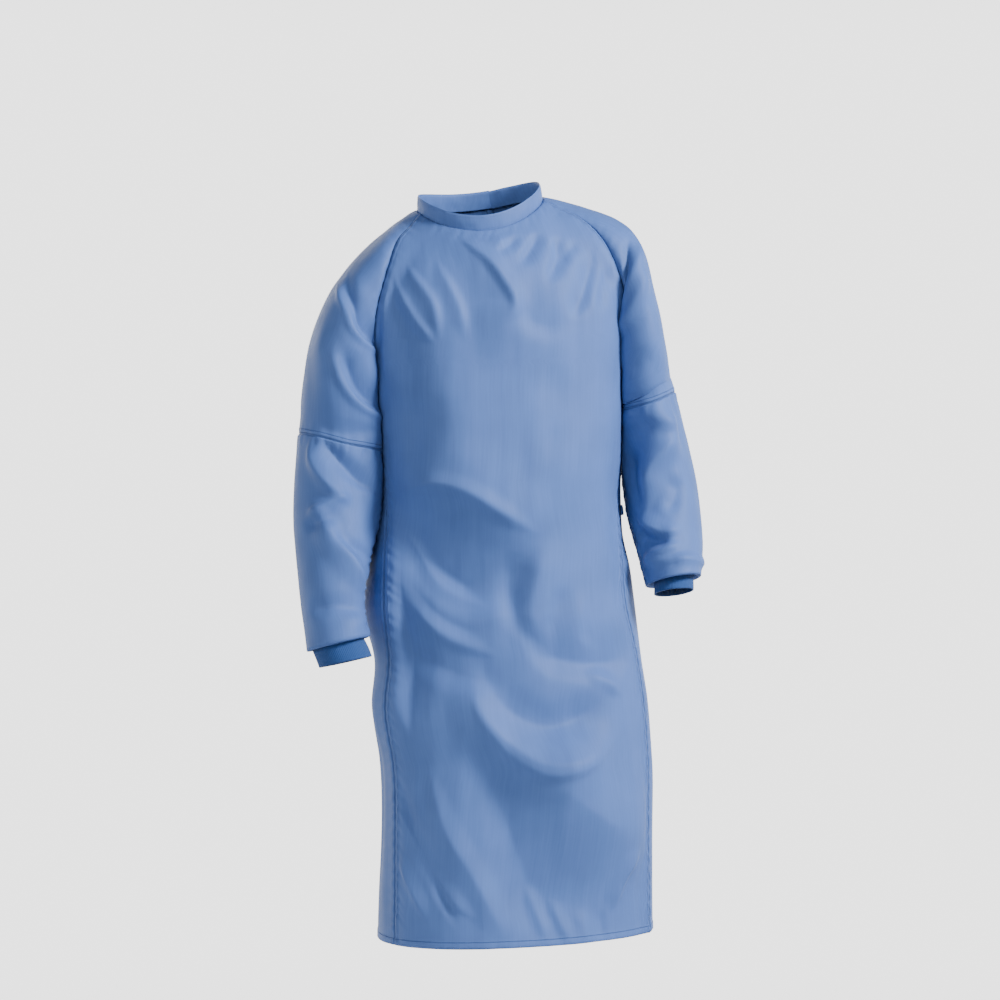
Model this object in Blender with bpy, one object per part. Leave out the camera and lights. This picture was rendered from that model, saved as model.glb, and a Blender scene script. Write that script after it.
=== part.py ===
"""Surgical gown with a wrap back, raglan sleeves, a neck band and knit cuffs.

Metres, +Z up. The front of the gown faces -Y and the wearer's left is +X.
The origin is the middle of the neck opening.
"""

import math
from collections import namedtuple

import bmesh
import bpy
import numpy as np
from mathutils import Vector
from mathutils.bvhtree import BVHTree

# Cloth
WALL = 0.0015
HEM_WALL = 0.0026
BAND_WALL = 0.0022
CUFF_WALL = 0.0022
SEAM_GAP = 0.0003
HEM_ROWS = 1

# Grid of the panels
FRONT_COLUMNS = 26
BACK_COLUMNS = 20
SLEEVE_COLUMNS = 16
YOKE_ROWS = 10
BODY_ROWS = 23
UPPER_ROWS = 5
LOWER_ROWS = 10
BAND_COLUMNS = 44

# Back wrap: each back panel passes the centre by this many columns
WRAP_COLUMNS = 3
WRAP_RAMP = 3
WRAP_LIFT = 0.0034

# Neck
NECK_HALF = 0.096
NECK_FRONT = 0.088
NECK_BACK = 0.075
NECK_Z = 0.002
NECK_RISE_BACK = 0.270
NECK_FLATTEN = 3.07
NECK_RISE_LEFT = 0.123
RAGLAN_FRONT = math.radians(78)
RAGLAN_BACK = math.radians(128)
BAND_HEIGHT = 0.022
BAND_LEAN = 0.10

# Body, ring by ring: extremes on the wearer's right and left, depth before and
# behind the middle, and how far before the middle the side seam runs
Section = namedtuple("Section", "z right left front back seam")
BODY = [
    Section(-0.250, -0.1690, 0.2190, 0.135, 0.125, 0.004),
    Section(-0.320, -0.1600, 0.2170, 0.140, 0.118, 0.012),
    Section(-0.390, -0.1530, 0.2140, 0.141, 0.107, 0.022),
    Section(-0.450, -0.1510, 0.2100, 0.138, 0.100, 0.034),
    Section(-0.500, -0.1580, 0.2160, 0.135, 0.104, 0.050),
    Section(-0.550, -0.1720, 0.2280, 0.134, 0.118, 0.066),
    Section(-0.600, -0.1800, 0.2360, 0.136, 0.132, 0.074),
    Section(-0.696, -0.1630, 0.2490, 0.142, 0.146, 0.066),
    Section(-0.757, -0.1710, 0.2590, 0.147, 0.150, 0.070),
    Section(-0.849, -0.1580, 0.2650, 0.154, 0.156, 0.073),
    Section(-0.980, -0.1560, 0.2650, 0.161, 0.162, 0.076),
    Section(-1.112, -0.1565, 0.2665, 0.168, 0.166, 0.078),
]
UNDERARM = BODY[0].z
HEM = BODY[-1].z
HEM_TILT = 0.028
SQUARENESS = 2.25

# Sleeves: station 1 is the underarm, 2 the elbow seam, 3 the lowest fold over
# the cuff; half widths across and fore-and-aft, tilt and pitch in degrees
Ring = namedtuple("Ring", "station x y z across deep tilt pitch")
SLEEVES = {
    "right": [
        Ring(1.00, -0.2160, -0.004, -0.250, 0.0470, 0.085, 18, 0),
        Ring(1.50, -0.2205, 0.008, -0.306, 0.0515, 0.082, 17, 0),
        Ring(2.00, -0.2200, 0.012, -0.365, 0.0550, 0.078, 15, 0),
        Ring(2.25, -0.2230, 0.000, -0.435, 0.0600, 0.076, 10, 2),
        Ring(2.50, -0.2260, -0.022, -0.500, 0.0600, 0.071, 2, 6),
        Ring(2.70, -0.2290, -0.046, -0.555, 0.0530, 0.066, -6, 8),
        Ring(2.85, -0.2310, -0.068, -0.605, 0.0460, 0.060, -10, 8),
        Ring(3.00, -0.2250, -0.092, -0.664, 0.0465, 0.054, -13, 6),
    ],
    "left": [
        Ring(1.00, 0.2535, -0.004, -0.250, 0.0345, 0.085, 18, 0),
        Ring(1.50, 0.2592, 0.012, -0.275, 0.0347, 0.083, 20, 0),
        Ring(2.00, 0.2660, 0.022, -0.299, 0.0380, 0.081, 22, 0),
        Ring(2.25, 0.2770, 0.020, -0.372, 0.0480, 0.078, 14, 2),
        Ring(2.50, 0.2825, 0.006, -0.432, 0.0555, 0.073, 7, 5),
        Ring(2.70, 0.2860, -0.014, -0.485, 0.0550, 0.068, 1, 8),
        Ring(2.85, 0.2890, -0.036, -0.528, 0.0500, 0.062, 2, 10),
        Ring(3.00, 0.2890, -0.062, -0.574, 0.0415, 0.054, 8, 12),
    ],
}

# Yoke: how the cloth leaves the neck and meets the underarm ring, by position
# round the neck (0 right front raglan, 1 left front, 2 left back, 3 right back)
Guide = namedtuple("Guide", "at leave arrive")
GUIDES = [
    Guide(0.0, (-0.047, -0.044, -0.055), (-0.010, -0.055, 0.085)),
    Guide(0.5, (0.004, -0.026, -0.060), (0.000, 0.004, 0.080)),
    Guide(1.0, (0.082, -0.039, -0.039), (0.012, -0.055, 0.130)),
    Guide(1.5, (0.172, 0.000, -0.038), (-0.052, 0.000, 0.206)),
    Guide(2.0, (0.074, 0.049, -0.040), (0.002, 0.105, 0.125)),
    Guide(2.5, (0.000, 0.030, -0.044), (0.000, 0.015, 0.110)),
    Guide(3.0, (-0.049, 0.049, -0.057), (-0.002, 0.105, 0.090)),
    Guide(3.5, (-0.074, 0.000, -0.036), (0.009, 0.000, 0.078)),
]
SECTORS = ["front", "left", "back", "right"]
CORNERS = [
    -RAGLAN_FRONT,
    RAGLAN_FRONT,
    RAGLAN_BACK,
    2 * math.pi - RAGLAN_BACK,
    2 * math.pi - RAGLAN_FRONT,
]

# Cuffs: middle and tilt of the lower end, half widths, and how far the sleeve
# turns up inside before the cuff is sewn on
Cuff = namedtuple("Cuff", "x y z across deep tilt pitch")
CUFFS = {
    "right": Cuff(-0.2145, -0.103, -0.691, 0.0390, 0.040, -12, 6),
    "left": Cuff(0.2875, -0.072, -0.591, 0.0300, 0.036, 4, 12),
}
TURN_UP = 0.016
CUFF_ROWS = 4
CUFF_EASE = 0.0025
CUFF_GAP = 0.00039
CUFF_TAPER = 0.97
FOLD_DROP = 0.004
FOLD_ROLL = 0.4


# Folds: each runs through three or four points (share across the panel, level),
# where the level is the height on the body and the station on a sleeve.
# Depth is outward for a ridge and inward for a trough; a power of 2 is round
# and 1.3 is creased
Fold = namedtuple("Fold", "name width depth power path")
FRONT_FOLDS = [
    Fold("neck hollow", 0.022, -0.008, 1.6, ((0.34, -0.06), (0.48, -0.11), (0.47, -0.20))),
    Fold("neck centre", 0.012, -0.004, 1.6, ((0.62, -0.05), (0.57, -0.08), (0.55, -0.11))),
    Fold("neck left", 0.013, -0.004, 1.6, ((0.76, -0.05), (0.74, -0.08), (0.64, -0.12))),
    Fold("raglan left", 0.018, -0.006, 1.6, ((0.90, -0.08), (0.78, -0.12), (0.70, -0.19))),
    Fold("raglan left low", 0.018, -0.005, 1.6, ((0.93, -0.10), (0.86, -0.16), (0.84, -0.24))),
    Fold("raglan right", 0.022, 0.006, 1.6, ((0.06, -0.10), (0.21, -0.15), (0.29, -0.22))),
    Fold("arm right", 0.018, -0.007, 1.6, ((0.12, -0.14), (0.15, -0.20), (0.18, -0.30))),
    Fold("arm right ridge", 0.016, 0.005, 1.6, ((0.07, -0.15), (0.10, -0.24), (0.16, -0.31))),
    Fold("chest right", 0.022, 0.005, 1.6, ((0.18, -0.09), (0.29, -0.15), (0.36, -0.23))),
    Fold("chest edge", 0.060, 0.009, 2.0, ((0.56, -0.17), (0.53, -0.34), (0.55, -0.50), (0.56, -0.64))),
    Fold("waist hollow", 0.042, -0.014, 2.0, ((0.08, -0.41), (0.15, -0.48), (0.22, -0.57))),
    Fold("waist ridge", 0.020, 0.007, 1.6, ((0.07, -0.49), (0.17, -0.57), (0.40, -0.63))),
    Fold("hip ridge", 0.018, 0.006, 1.6, ((0.14, -0.62), (0.22, -0.66), (0.40, -0.69))),
    Fold("waist hook", 0.020, -0.007, 1.6, ((0.57, -0.47), (0.62, -0.52), (0.57, -0.56), (0.46, -0.60))),
    Fold("left fall", 0.018, -0.007, 1.6, ((0.87, -0.51), (0.81, -0.59), (0.75, -0.66), (0.92, -0.68))),
    Fold("swag ridge", 0.020, 0.009, 1.5, ((0.31, -0.71), (0.41, -0.80), (0.54, -0.845), (0.79, -0.82))),
    Fold("swag trough", 0.026, -0.009, 1.8, ((0.37, -0.71), (0.47, -0.78), (0.64, -0.78), (0.93, -0.69))),
    Fold("skirt long", 0.020, 0.007, 1.6, ((0.16, -0.86), (0.30, -0.96), (0.49, -1.09))),
    Fold("skirt short", 0.016, 0.005, 1.6, ((0.51, -1.02), (0.53, -1.05), (0.56, -1.09))),
    Fold("skirt right", 0.018, -0.006, 1.6, ((0.04, -0.93), (0.14, -0.99), (0.24, -1.05))),
    Fold("skirt left", 0.016, -0.006, 1.6, ((0.88, -0.94), (0.92, -0.98), (0.86, -1.06))),
]
BACK_FOLDS = [
    Fold("shoulder left", 0.022, 0.006, 1.6, ((0.12, -0.08), (0.20, -0.16), (0.24, -0.26))),
    Fold("shoulder right", 0.022, 0.006, 1.6, ((0.90, -0.08), (0.82, -0.17), (0.77, -0.28))),
    Fold("blade hollow", 0.050, -0.010, 2.0, ((0.36, -0.18), (0.34, -0.30), (0.40, -0.42))),
    Fold("waist pull left", 0.020, -0.007, 1.6, ((0.14, -0.40), (0.26, -0.45), (0.40, -0.49))),
    Fold("waist pull right", 0.020, -0.007, 1.6, ((0.88, -0.39), (0.76, -0.44), (0.62, -0.49))),
    Fold("seat left", 0.026, 0.008, 1.8, ((0.36, -0.53), (0.28, -0.64), (0.24, -0.82))),
    Fold("seat right", 0.026, 0.008, 1.8, ((0.66, -0.53), (0.74, -0.65), (0.79, -0.84))),
    Fold("fall left", 0.030, -0.010, 1.8, ((0.18, -0.66), (0.14, -0.86), (0.13, -1.10))),
    Fold("fall right", 0.030, -0.010, 1.8, ((0.86, -0.62), (0.89, -0.84), (0.88, -1.10))),
    Fold("train left", 0.034, 0.009, 1.8, ((0.27, -0.88), (0.25, -1.00), (0.24, -1.12))),
    Fold("train right", 0.034, 0.009, 1.8, ((0.73, -0.90), (0.75, -1.02), (0.75, -1.12))),
]
SLEEVE_FOLDS = {
    "right": [
        Fold("shoulder", 0.018, 0.006, 1.6, ((0.60, 0.56), (0.72, 0.72), (0.88, 0.90))),
        Fold("raglan", 0.015, 0.005, 1.6, ((0.75, 0.56), (0.80, 0.66), (0.83, 0.76))),
        Fold("above elbow", 0.018, 0.007, 1.6, ((0.66, 0.90), (0.75, 1.22), (0.93, 1.60))),
        Fold("below elbow", 0.018, 0.006, 1.6, ((0.58, 2.08), (0.66, 2.20), (0.78, 2.34))),
        Fold("forearm crease", 0.014, -0.005, 1.6, ((0.58, 2.44), (0.69, 2.42), (0.79, 2.35))),
        Fold("forearm ridge", 0.018, 0.007, 1.6, ((0.66, 2.45), (0.73, 2.62), (0.87, 2.80))),
        Fold("wrist crease", 0.014, -0.005, 1.6, ((0.92, 2.86), (0.84, 2.90), (0.75, 2.91))),
        Fold("behind arm", 0.020, 0.006, 1.8, ((0.35, 0.62), (0.27, 0.90), (0.22, 1.50))),
        Fold("behind elbow", 0.018, -0.006, 1.6, ((0.14, 1.90), (0.25, 2.05), (0.40, 2.12))),
        Fold("behind forearm", 0.018, 0.006, 1.6, ((0.12, 2.30), (0.22, 2.50), (0.36, 2.66))),
    ],
    "left": [
        Fold("shoulder trough", 0.018, -0.007, 1.6, ((0.35, 0.56), (0.26, 0.66), (0.12, 0.82))),
        Fold("shoulder ridge", 0.018, 0.005, 1.6, ((0.46, 0.50), (0.42, 0.62), (0.36, 0.72))),
        Fold("hollow", 0.028, -0.011, 1.8, ((0.30, 2.10), (0.20, 2.20), (0.17, 2.38))),
        Fold("hollow edge", 0.018, 0.007, 1.6, ((0.33, 2.18), (0.20, 2.36), (0.13, 2.66))),
        Fold("forearm ridge", 0.016, 0.006, 1.6, ((0.34, 2.71), (0.20, 2.84), (0.12, 2.92))),
        Fold("forearm crease", 0.014, -0.005, 1.6, ((0.34, 2.58), (0.25, 2.64), (0.15, 2.71))),
        Fold("behind arm", 0.020, 0.006, 1.8, ((0.65, 0.60), (0.73, 0.88), (0.78, 1.40))),
        Fold("behind elbow", 0.018, -0.006, 1.6, ((0.84, 1.90), (0.74, 2.05), (0.60, 2.12))),
        Fold("behind forearm", 0.018, 0.006, 1.6, ((0.86, 2.30), (0.77, 2.50), (0.64, 2.66))),
    ],
}
FOLD_FADE = 0.030
FOLD_STEPS = 48
FOLD_TAPER = 0.3
FOLD_BLUNT = 0.15

# Waist ties: tapes sewn into the side seams, brought round the back, crossed and
# left hanging; each path is (share across the back, height)
TAPE_WIDTH = 0.014
TAPE_PINCH = 0.006
TAPE_WALL = 0.0012
TAPE_STEPS = 60
TAPE_CLEAR = 0.0010
CROSSING = (0.50, -0.505)
KNOT_CLEAR = 0.0034
KNOT_REACH = 0.030
TIES = {
    "right": ((0.985, -0.463), (0.80, -0.474), (0.60, -0.487), CROSSING, (0.465, -0.57), (0.46, -0.74)),
    "left": ((0.015, -0.466), (0.20, -0.476), (0.40, -0.487), CROSSING, (0.535, -0.57), (0.545, -0.70)),
}
KNOT_HALF = 0.0125
KNOT_DEEP = 0.0027
KNOT_TALL = 0.010
KNOT_WALL = 0.0024
KNOT_STEPS = 16
KNOT_SIDES = 8
PINCH_NEAR = 1.3
CROSS_NEAR = 1.8

# Neck snaps on the lapped end of the band
SNAP_RADIUS = 0.005
SNAP_TALL = 0.0018
SNAP_LIFT = 0.0005
SNAP_SIDES = 12
SNAP_RINGS = ((1.0, 0.0), (1.0, 0.45), (0.8, 0.9))
SNAP_ANGLES = (math.radians(172), math.radians(188))


def cubic(xs, ys, at):
    """Smooth curve through the rows of a table, read at any position."""
    xs, ys, at = (np.asarray(v, float) for v in (xs, ys, at))
    slopes = np.gradient(ys, xs, axis=0)
    k = np.clip(np.searchsorted(xs, at, side="right") - 1, 0, len(xs) - 2)
    h = xs[k + 1] - xs[k]
    t = (at - xs[k]) / h
    if ys.ndim > 1:
        h, t = h[..., None], t[..., None]
    a, b = 2 * t**3 - 3 * t**2 + 1, t**3 - 2 * t**2 + t
    c, d = -2 * t**3 + 3 * t**2, t**3 - t**2
    return a * ys[k] + b * h * slopes[k] + c * ys[k + 1] + d * h * slopes[k + 1]


def column(rows, name):
    return [getattr(row, name) for row in rows]


def evenly(points, shares):
    """Points at the given shares of a fine line's length."""
    steps = np.linalg.norm(np.diff(points, axis=0), axis=1)
    along = np.concatenate([[0], np.cumsum(steps)])
    at = np.asarray(shares) * along[-1]
    return np.stack([np.interp(at, along, points[:, k]) for k in range(3)], axis=1)


def smooth(x):
    x = np.clip(x, 0, 1)
    return x * x * (3 - 2 * x)


def unit(v):
    return v / np.linalg.norm(v, axis=-1, keepdims=True)


def squircle(v):
    return np.sign(v) * np.abs(v) ** (2 / SQUARENESS)


def body_ring(part, shares, z, drop, lift=0.0):
    """Half of a level ring of the body, from one side seam to the other."""
    right, left, front, back, seam = (
        float(cubic([-s.z for s in BODY], column(BODY, name), -z))
        for name in ("right", "left", "front", "back", "seam")
    )
    turn = math.acos((seam / front) ** (SQUARENESS / 2))
    if part == "front":
        a = np.linspace(-turn, turn, 181)
    else:
        a = np.linspace(turn, 2 * math.pi - turn, 181)
    x = (right + left) / 2 + (left - right) / 2 * squircle(np.sin(a))
    y = -np.where(np.cos(a) > 0, front, back) * squircle(np.cos(a))
    ring = evenly(np.stack([x, y, z + HEM_TILT * drop * x], axis=1), shares)
    way = np.gradient(ring, axis=0)
    out = unit(np.stack([way[:, 1], -way[:, 0], 0 * way[:, 0]], axis=1))
    return ring + np.reshape(lift, (-1, 1)) * out


def sleeve_ring(side, shares, station):
    """Ring of a sleeve, from its underarm seam forward and round."""
    rows = SLEEVES[side]
    sizes = (
        float(cubic(column(rows, "station"), column(rows, name), station))
        for name in ("x", "y", "z", "across", "deep", "tilt", "pitch")
    )
    return oval(1 if side == "left" else -1, shares, *sizes)


def oval(sign, shares, x, y, z, across, deep, tilt, pitch):
    a = np.linspace(0, 2 * math.pi, 181)
    if sign < 0:
        a = a[::-1]
    out = -across * np.cos(a)
    ahead = deep * np.sin(a)
    rise = math.tan(math.radians(tilt)) * out + math.tan(math.radians(pitch)) * ahead
    ring = np.stack([x + sign * out, y - ahead, z + rise], axis=1)
    return evenly(ring, shares)


def neck_ring(angles, lift=0.0):
    x = (NECK_HALF + lift) * np.sin(angles)
    depth = np.where(np.cos(angles) > 0, NECK_FRONT + lift, NECK_BACK + lift)
    y = -depth * np.cos(angles)
    z = NECK_Z + NECK_RISE_BACK * y - NECK_FLATTEN * y * y + NECK_RISE_LEFT * x
    return np.stack([x, y, z], axis=1)


def start_shift(side, station):
    """Brings the sleeve's underarm seam to the body's and fades to the elbow."""
    corner = body_ring("front", [0.0, 1.0], UNDERARM, 0)[0 if side == "right" else 1]
    start = sleeve_ring(side, [0.0], 1.0)[0]
    return (corner - start) * max(0.0, 2.0 - station) ** 2


def underarm_ring(sector, shares, lift):
    if sector in ("front", "back"):
        return body_ring(sector, shares, UNDERARM, 0, lift)
    return sleeve_ring(sector, shares, 1.0) + start_shift(sector, 1.0)


def yoke(sector, shares, lift):
    """Rows of points from the neck seam to the underarm ring."""
    k = SECTORS.index(sector)
    top = neck_ring(CORNERS[k] + (CORNERS[k + 1] - CORNERS[k]) * shares, lift)
    low = underarm_ring(sector, shares, lift)
    at = [g.at + turn for turn in (-4, 0, 4) for g in GUIDES]
    leave = cubic(at, column(GUIDES, "leave") * 3, k + shares)
    arrive = cubic(at, column(GUIDES, "arrive") * 3, k + shares)
    t = np.linspace(0, 1, YOKE_ROWS + 1)[:, None, None]
    return (
        (1 - t) ** 3 * top
        + 3 * (1 - t) ** 2 * t * (top + leave)
        + 3 * (1 - t) * t**2 * (low + arrive)
        + t**3 * low
    )


def body_grid(sector, shares, lift):
    rows = [
        body_ring(sector, shares, UNDERARM + (HEM - UNDERARM) * drop, drop, lift)
        for drop in np.linspace(0, 1, BODY_ROWS + 1)[1:]
    ]
    return np.concatenate([yoke(sector, shares, lift), rows])


def sleeve_grid(side):
    """Whole sleeve from the neck seam to where it is sewn to the cuff."""
    shares = np.linspace(0, 1, SLEEVE_COLUMNS + 1)
    stations = np.concatenate(
        [np.linspace(1, 2, UPPER_ROWS + 1)[1:], np.linspace(2, 3, LOWER_ROWS + 1)[1:]]
    )
    rows = [sleeve_ring(side, shares, s) + start_shift(side, s) for s in stations]
    return np.concatenate([yoke(side, shares, np.zeros(len(shares))), rows])


def turn_in(side, last, before):
    """Rows that roll under the fold and go up inside to the top of the cuff."""
    cuff = cuff_grid(side, np.linspace(0, 1, SLEEVE_COLUMNS + 1))
    down = unit(last - before)
    out = unit(last - last.mean(axis=0))
    beside = cuff[1] + CUFF_EASE * out
    rows = [
        last + FOLD_DROP * down + FOLD_ROLL * (beside - last),
        beside + FOLD_DROP * down,
        (cuff[1] + cuff[0]) / 2 + CUFF_EASE / 2 * out,
        cuff[0] + CUFF_GAP * out,
    ]
    return np.array(rows)


def cuff_grid(side, shares):
    sign = 1 if side == "left" else -1
    c = CUFFS[side]
    ring = SLEEVES[side][-1]
    low = oval(sign, shares, c.x, c.y, c.z, c.across, c.deep, c.tilt, c.pitch)
    top_z = ring.z + TURN_UP
    lean = (top_z - c.z) / (ring.z - c.z)
    x, y = c.x + (ring.x - c.x) * lean, c.y + (ring.y - c.y) * lean
    across, deep = c.across * CUFF_TAPER, c.deep * CUFF_TAPER
    top = oval(sign, shares, x, y, top_z, across, deep, ring.tilt, ring.pitch)
    t = np.linspace(0, 1, CUFF_ROWS + 1)[:, None, None]
    return top + (low - top) * t


def on_grid(grid, levels, share, level):
    """Point of a grid at a share across it and a level down it."""
    row = np.interp(level, levels, np.arange(len(levels)))
    col = np.asarray(share) * (grid.shape[1] - 1)
    i = np.minimum(row.astype(int), grid.shape[0] - 2)
    j = np.minimum(col.astype(int), grid.shape[1] - 2)
    u, v = (col - j)[..., None], (row - i)[..., None]
    upper = grid[i, j] * (1 - u) + grid[i, j + 1] * u
    lower = grid[i + 1, j] * (1 - u) + grid[i + 1, j + 1] * u
    return upper * (1 - v) + lower * v


def through(path, count):
    """Even steps along a smooth curve through the points of a path."""
    path = np.array(path)
    knots = np.arange(len(path))
    return cubic(knots, path, np.linspace(0, len(path) - 1, count))


def folded(grid, outward, levels, folds, fade):
    """Moves the cloth out along its ridges and in along its troughs."""
    depth = np.zeros(grid.shape[:2])
    for fold in folds:
        line = through(fold.path, FOLD_STEPS)
        line = on_grid(grid, levels, line[:, 0], line[:, 1])
        away = np.linalg.norm(grid[:, :, None] - line, axis=-1)
        t = away.argmin(axis=-1) / (FOLD_STEPS - 1)
        ends = smooth(t / FOLD_TAPER + FOLD_BLUNT) * smooth((1 - t) / FOLD_TAPER + FOLD_BLUNT)
        depth += fold.depth * ends * np.exp(-((away.min(axis=-1) / fold.width) ** fold.power))
    return grid + outward * (depth * fade)[..., None]


def flip(folds):
    """The same folds with their heights counted downward."""
    return [f._replace(path=[(share, -z) for share, z in f.path]) for f in folds]


def edge_fade(grid, rows):
    """Nothing at the neck seam and at both side borders down to the given row."""
    first = np.linalg.norm(grid - grid[:, :1], axis=-1)
    last = np.linalg.norm(grid - grid[:, -1:], axis=-1)
    top = np.linalg.norm(grid - grid[:1], axis=-1)
    sides = smooth(first / FOLD_FADE) * smooth(last / FOLD_FADE)
    sides[rows:] = 1
    return sides * smooth(top / FOLD_FADE)


def normals(grid, closed_from=None):
    """Outward directions of a grid whose rows run down and round by the front."""
    across = np.gradient(grid, axis=1)
    down = np.gradient(grid, axis=0)
    if closed_from is not None:
        wrap = (grid[:, 1] - grid[:, -2])[closed_from:]
        across[closed_from:, 0] = wrap
        across[closed_from:, -1] = wrap
    return unit(np.cross(down, across))


def joined(mine, other, apart=0.1, flush=0.7):
    """Direction of the wall at a seam, common to both pieces where they are flush."""
    alike = np.sum(mine * other, axis=-1, keepdims=True)
    weight = np.clip((alike - apart) / (flush - apart), 0, 1)
    both = unit(mine + weight * other)
    return both / np.sum(both * mine, axis=-1, keepdims=True)


def drawn_in(grid, edges):
    """Moves the border rows and columns in by half the seam gap."""
    out = grid.copy()
    half = SEAM_GAP / 2
    if "left" in edges:
        out[:, 0] += half * unit(grid[:, 1] - grid[:, 0])
    if "right" in edges:
        out[:, -1] += half * unit(grid[:, -2] - grid[:, -1])
    if "top" in edges:
        out[0] += half * unit(grid[1] - grid[0])
    if "bottom" in edges:
        out[-1] += half * unit(grid[-2] - grid[-1])
    return out


def outer_faces(grids):
    """Lookup of where the outer faces of some grids lie."""
    points, faces = [], []
    for grid in grids:
        rows, columns = grid.shape[:2]
        first = len(points)
        points += [tuple(p) for p in grid.reshape(-1, 3)]
        for i in range(rows - 1):
            for j in range(columns - 1):
                k = first + i * columns + j
                faces += [(k, k + columns, k + columns + 1), (k, k + columns + 1, k + 1)]
    return BVHTree.FromPolygons(points, faces)


def drop_on(faces, point, out, reach=0.05):
    """Height of the outermost face over a point, along a direction."""
    start = Vector(point + reach * out)
    hit = faces.ray_cast(start, Vector(-out))[0]
    return 0.0 if hit is None else reach - (hit - start).length


def shell(name, grid, outward, wall, color, edges=("left", "right", "top", "bottom")):
    """Closed solid: the grid is its outer face, the wall goes inward."""
    outer = drawn_in(grid, edges)
    depth = np.broadcast_to(np.reshape(wall, (-1, 1, 1)), grid.shape[:1] + (1, 1))
    inner = outer - outward * depth
    rows, columns = grid.shape[:2]
    mesh = bmesh.new()
    out = [[mesh.verts.new(p) for p in row] for row in outer]
    ins = [[mesh.verts.new(p) for p in row] for row in inner]
    for i in range(rows - 1):
        for j in range(columns - 1):
            mesh.faces.new((out[i][j], out[i + 1][j], out[i + 1][j + 1], out[i][j + 1]))
            mesh.faces.new((ins[i][j], ins[i][j + 1], ins[i + 1][j + 1], ins[i + 1][j]))
    for i in range(rows - 1):
        mesh.faces.new((out[i][0], ins[i][0], ins[i + 1][0], out[i + 1][0]))
        mesh.faces.new((out[i][-1], out[i + 1][-1], ins[i + 1][-1], ins[i][-1]))
    for j in range(columns - 1):
        mesh.faces.new((out[0][j], out[0][j + 1], ins[0][j + 1], ins[0][j]))
        mesh.faces.new((out[-1][j], ins[-1][j], ins[-1][j + 1], out[-1][j + 1]))
    bmesh.ops.recalc_face_normals(mesh, faces=mesh.faces)
    return placed(name, mesh, color)


def loop(name, centre, across, out, up, color):
    """Closed band round the crossing of the ties, rounded in section."""
    mesh = bmesh.new()
    rings = []
    for a in np.linspace(0, 2 * math.pi, KNOT_STEPS, endpoint=False):
        side, front = squircle(math.cos(a)), squircle(math.sin(a))
        way = unit(across * math.cos(a) / KNOT_HALF + out * math.sin(a) / KNOT_DEEP)
        inner = centre + across * side * KNOT_HALF + out * front * KNOT_DEEP
        ring = []
        for b in np.linspace(0, 2 * math.pi, KNOT_SIDES, endpoint=False):
            thick = KNOT_WALL * (0.5 - 0.5 * math.cos(b))
            ring.append(mesh.verts.new(inner + way * thick + up * (KNOT_TALL / 2 * math.sin(b))))
        rings.append(ring)
    for i, ring in enumerate(rings):
        after = rings[(i + 1) % len(rings)]
        for j in range(KNOT_SIDES):
            k = (j + 1) % KNOT_SIDES
            mesh.faces.new((ring[j], ring[k], after[k], after[j]))
    bmesh.ops.recalc_face_normals(mesh, faces=mesh.faces)
    return placed(name, mesh, color)


def snap(name, centre, out):
    """Low round cap with a rounded rim, standing on the band."""
    mesh = bmesh.new()
    across = unit(np.cross(out, [0.0, 0.0, 1.0]))
    up = np.cross(across, out)
    base = mesh.verts.new(centre)
    tip = mesh.verts.new(centre + out * SNAP_TALL)
    rings = []
    for radius, height in SNAP_RINGS:
        ring = []
        for a in np.linspace(0, 2 * math.pi, SNAP_SIDES, endpoint=False):
            flat = across * math.cos(a) + up * math.sin(a)
            ring.append(mesh.verts.new(centre + flat * radius * SNAP_RADIUS + out * height * SNAP_TALL))
        rings.append(ring)
    for j in range(SNAP_SIDES):
        k = (j + 1) % SNAP_SIDES
        mesh.faces.new((base, rings[0][k], rings[0][j]))
        for low, high in zip(rings, rings[1:]):
            mesh.faces.new((low[j], low[k], high[k], high[j]))
        mesh.faces.new((rings[-1][j], rings[-1][k], tip))
    bmesh.ops.recalc_face_normals(mesh, faces=mesh.faces)
    return placed(name, mesh, SNAP)


def placed(name, mesh, color):
    data = bpy.data.meshes.new(name)
    mesh.to_mesh(data)
    mesh.free()
    piece = bpy.data.objects.new(name, data)
    bpy.context.scene.collection.objects.link(piece)
    material = bpy.data.materials.new(name)
    material.use_nodes = True
    shader = material.node_tree.nodes["Principled BSDF"]
    shader.inputs["Base Color"].default_value = (*color, 1)
    shader.inputs["Roughness"].default_value = 0.8
    data.materials.append(material)
    return piece


CLOTH = (0.115, 0.205, 0.430)
KNIT = (0.045, 0.120, 0.330)
SNAP = (0.62, 0.66, 0.72)

for old in list(bpy.data.objects):
    bpy.data.objects.remove(old, do_unlink=True)

front_shares = np.linspace(0, 1, FRONT_COLUMNS + 1)
back_shares = np.linspace(0, 1, BACK_COLUMNS + 1)
middle = BACK_COLUMNS // 2
left_end = middle + WRAP_COLUMNS
right_start = middle - WRAP_COLUMNS
ramp = (np.arange(BACK_COLUMNS + 1) - (right_start - WRAP_RAMP)) / WRAP_RAMP
over_lift = WRAP_LIFT * smooth(ramp)

front = body_grid("front", front_shares, np.zeros(FRONT_COLUMNS + 1))
under = body_grid("back", back_shares, np.zeros(BACK_COLUMNS + 1))
over = body_grid("back", back_shares, over_lift)
sleeves = {side: sleeve_grid(side) for side in ("right", "left")}

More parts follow.
